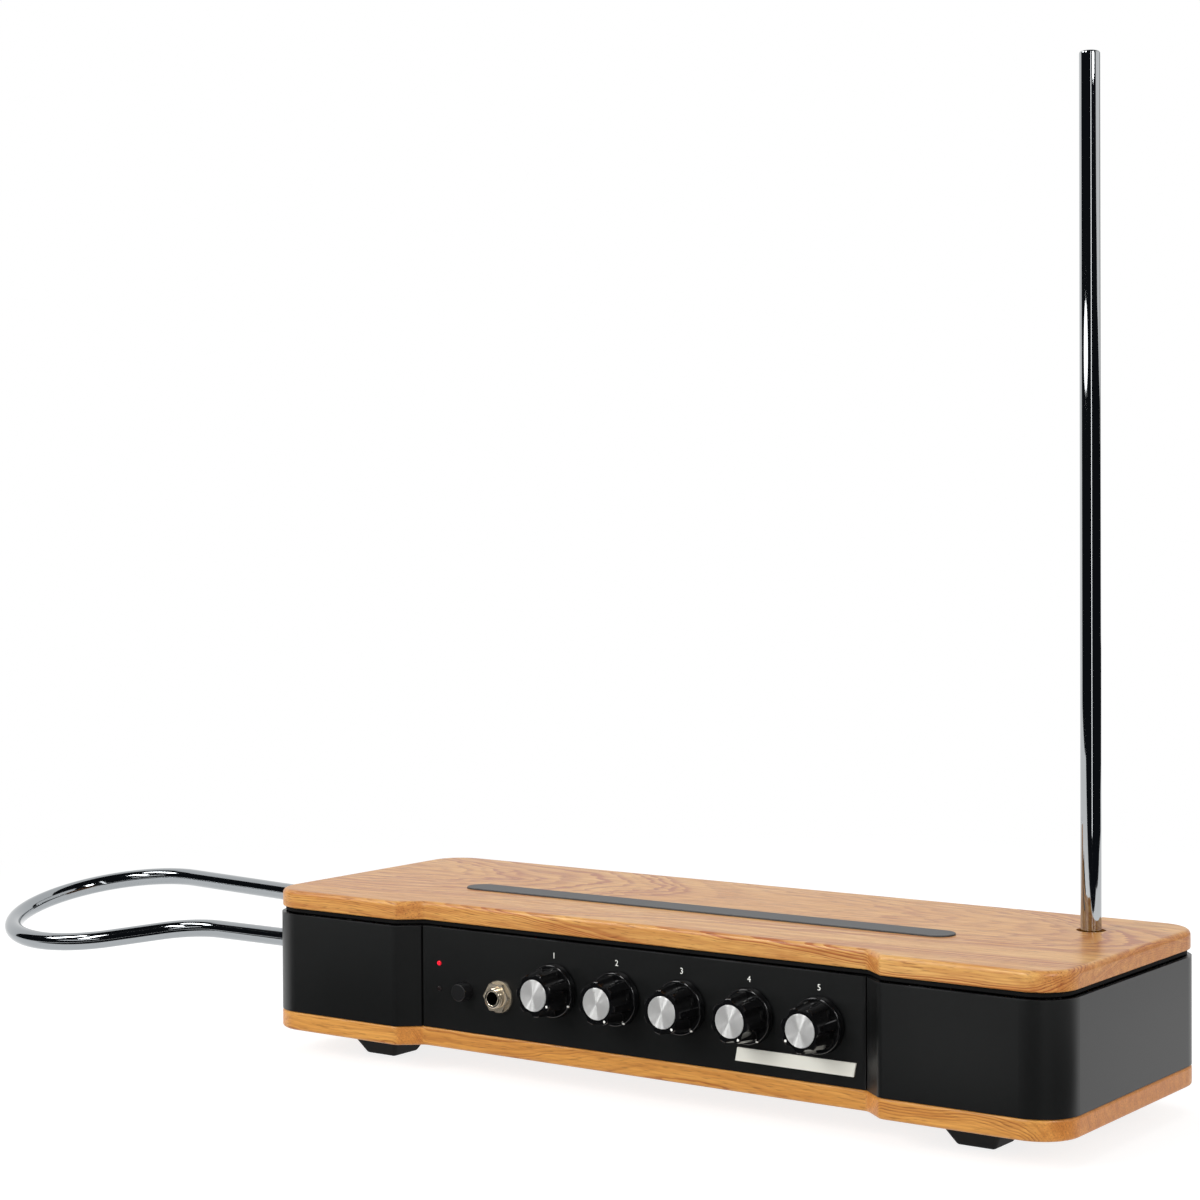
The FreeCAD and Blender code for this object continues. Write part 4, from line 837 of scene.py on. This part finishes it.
def upright_panel(name, start, end, low, high, material):
    """A standing reflector between two places in plan."""
    corners = [start + (low,), end + (low,), end + (high,), start + (high,)]
    reflector(name, corners, material)


# The dark room: how far its walls stand from the rod, and how far back its ends are
WALL = 2.5
CEILING = 2.5
LEFT_BACK, RIGHT_BACK, CEILING_BACK = -0.6, -4.0, -1.0
# The step between what lies on the floor
LAYER = 0.001
UNDER = FLOOR_Z + LAYER
upright_panel("room_front", (WALL, -WALL), (WALL, WALL), UNDER, CEILING, DARK)
upright_panel("room_left", (WALL, -WALL), (LEFT_BACK, -WALL), UNDER, CEILING, DARK)
upright_panel("room_right", (WALL, WALL), (RIGHT_BACK, WALL), UNDER, CEILING, DARK)
OVERHEAD = ((WALL, -WALL), (WALL, WALL), (CEILING_BACK, WALL), (CEILING_BACK, -WALL))
reflector("room_ceiling", [(t, r, CEILING) for t, r in OVERHEAD], DARK)
# The table's edge from its left end round its near corner to its right side, and on round the room
TABLE = ((LEFT_BACK, -WALL), (0.2, -2.0), (1.0, -1.45), (0.65, 0.0), (0.4, 0.6), (-0.2, 0.9),
         (RIGHT_BACK, 0.9), (RIGHT_BACK, WALL), (WALL, WALL), (WALL, -WALL))
reflector("room_floor", [(t, r, UNDER) for t, r in TABLE], DARK)
# A black card on the table in front of the panel and round the right corner, in the frame's x and y
CARD = ((-0.25, -0.09), (0.24, -0.09), (0.36, 0.1), (0.52, 0.06), (0.52, -0.15), (0.36, -0.5),
        (-0.2, -0.55), (-0.6, -0.46), (-0.6, -0.28), (-0.38, -0.165))
only_mirrored(stage_mesh("black_card", [(x, y, UNDER + LAYER) for x, y in CARD], DARK))
# A grey patch on the card that the right cover mirrors
PATCH = ((0.08, -0.174), (0.16, -0.174), (0.06, -0.4), (-0.03, -0.4))
only_mirrored(stage_mesh("grey_patch", [(x, y, UNDER + 2 * LAYER) for x, y in PATCH], GREY_GLOW))
# A narrow upright light in front of the rod
FRONT_AWAY, FRONT_LEFT, FRONT_RIGHT, FRONT_HIGH = 1.0, 0.19, 0.28, 1.4
upright_panel("softbox_front", (FRONT_AWAY, FRONT_LEFT), (FRONT_AWAY, FRONT_RIGHT), UNDER,
              FRONT_HIGH, LINE_GLOW)
# A long flat oval to the left of the camera, which the rod shows as one tall highlight
OVAL_AWAY, OVAL_TURN, OVAL_HEIGHT = 1.2, math.radians(48), 0.416
OVAL_LONG, OVAL_TALL, OVAL_SIDES = 1.0, 0.085, 16


def oval_corner(step):
    """One corner of the oval: (towards, rightwards, height)."""
    turn = turn_of(step, OVAL_SIDES)
    along = OVAL_LONG / 2 * math.cos(turn)
    towards = OVAL_AWAY * math.cos(OVAL_TURN) + along * math.sin(OVAL_TURN)
    rightwards = along * math.cos(OVAL_TURN) - OVAL_AWAY * math.sin(OVAL_TURN)
    return towards, rightwards, OVAL_HEIGHT + OVAL_TALL / 2 * math.sin(turn)


reflector("softbox_oval", [oval_corner(step) for step in range(OVAL_SIDES)], LINE_GLOW)
# A large light on the right wall, as (towards, height), and its step out from the wall
SIDE_LIGHT = ((0.91, 0.86), (0.72, 0.72), (0.175, 0.56), (-1.5, 0.44), (-3.0, 0.4), (-3.0, 2.2),
              (0.95, 2.2))
SIDE_STEP = 0.01
reflector("softbox_side", [(t, WALL - SIDE_STEP, z) for t, z in SIDE_LIGHT], BRIGHT)

# What the bright cards face, near the knobs
KNOBS_AT = Vector((0.05, -0.085, 0.035))


def card_light(name, place, width, tall):
    """A bright card at a place in the row frame, turned to the knobs."""
    facing = (KNOBS_AT - Vector(place)).to_track_quat("Z", "Y").to_matrix()
    corners = [Vector(place) + facing @ Vector((x * width / 2, y * tall / 2, 0.0))
               for x, y in SQUARE]
    only_mirrored(stage_mesh(name, corners, KEY_GLOW))


card_light("softbox_left", (-1.07, -0.82, 1.385), width=0.3, tall=0.8)
card_light("softbox_high", (-0.29, -1.38, 1.385), width=0.3, tall=0.8)
card_light("softbox_right", (1.3, -0.5, 0.9), width=0.3, tall=0.5)


def area_light(name, place, target, width, watts):
    """A round lamp that faces its target and isn't mirrored."""
    data = bpy.data.lights.new(name, "AREA")
    data.shape = "DISK"
    data.size = width
    data.energy = watts
    lamp = bpy.data.objects.new(name, data)
    bpy.context.scene.collection.objects.link(lamp)
    lamp.location = place
    lamp.rotation_mode = "QUATERNION"
    lamp.rotation_quaternion = (Vector(target) - Vector(place)).to_track_quat("-Z", "Y")
    lamp.visible_glossy = False


area_light("key", (-0.9, -1.9, 1.3), (0.0, 0.0, 0.05), width=1.2, watts=27.0)
area_light("fill", (1.9, -1.0, 1.1), (0.1, 0.0, 0.05), width=1.2, watts=8.0)
area_light("overhead", (0.0, 0.3, 2.2), (0.0, 0.0, 0.0), width=1.8, watts=9.0)

# The world is white to the eye and dimmer as a light
WORLD_LEVEL = 0.55
sky = Graph(bpy.data.worlds.new("studio"), "OutputWorld")
strength = sky.line(seen_rays(sky), 1.0 - WORLD_LEVEL, WORLD_LEVEL)
bpy.context.scene.world = sky.end(sky.add("Background", {"Color": WHITE, "Strength": strength}))

bpy.context.scene.view_settings.view_transform = "Standard"

low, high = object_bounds()
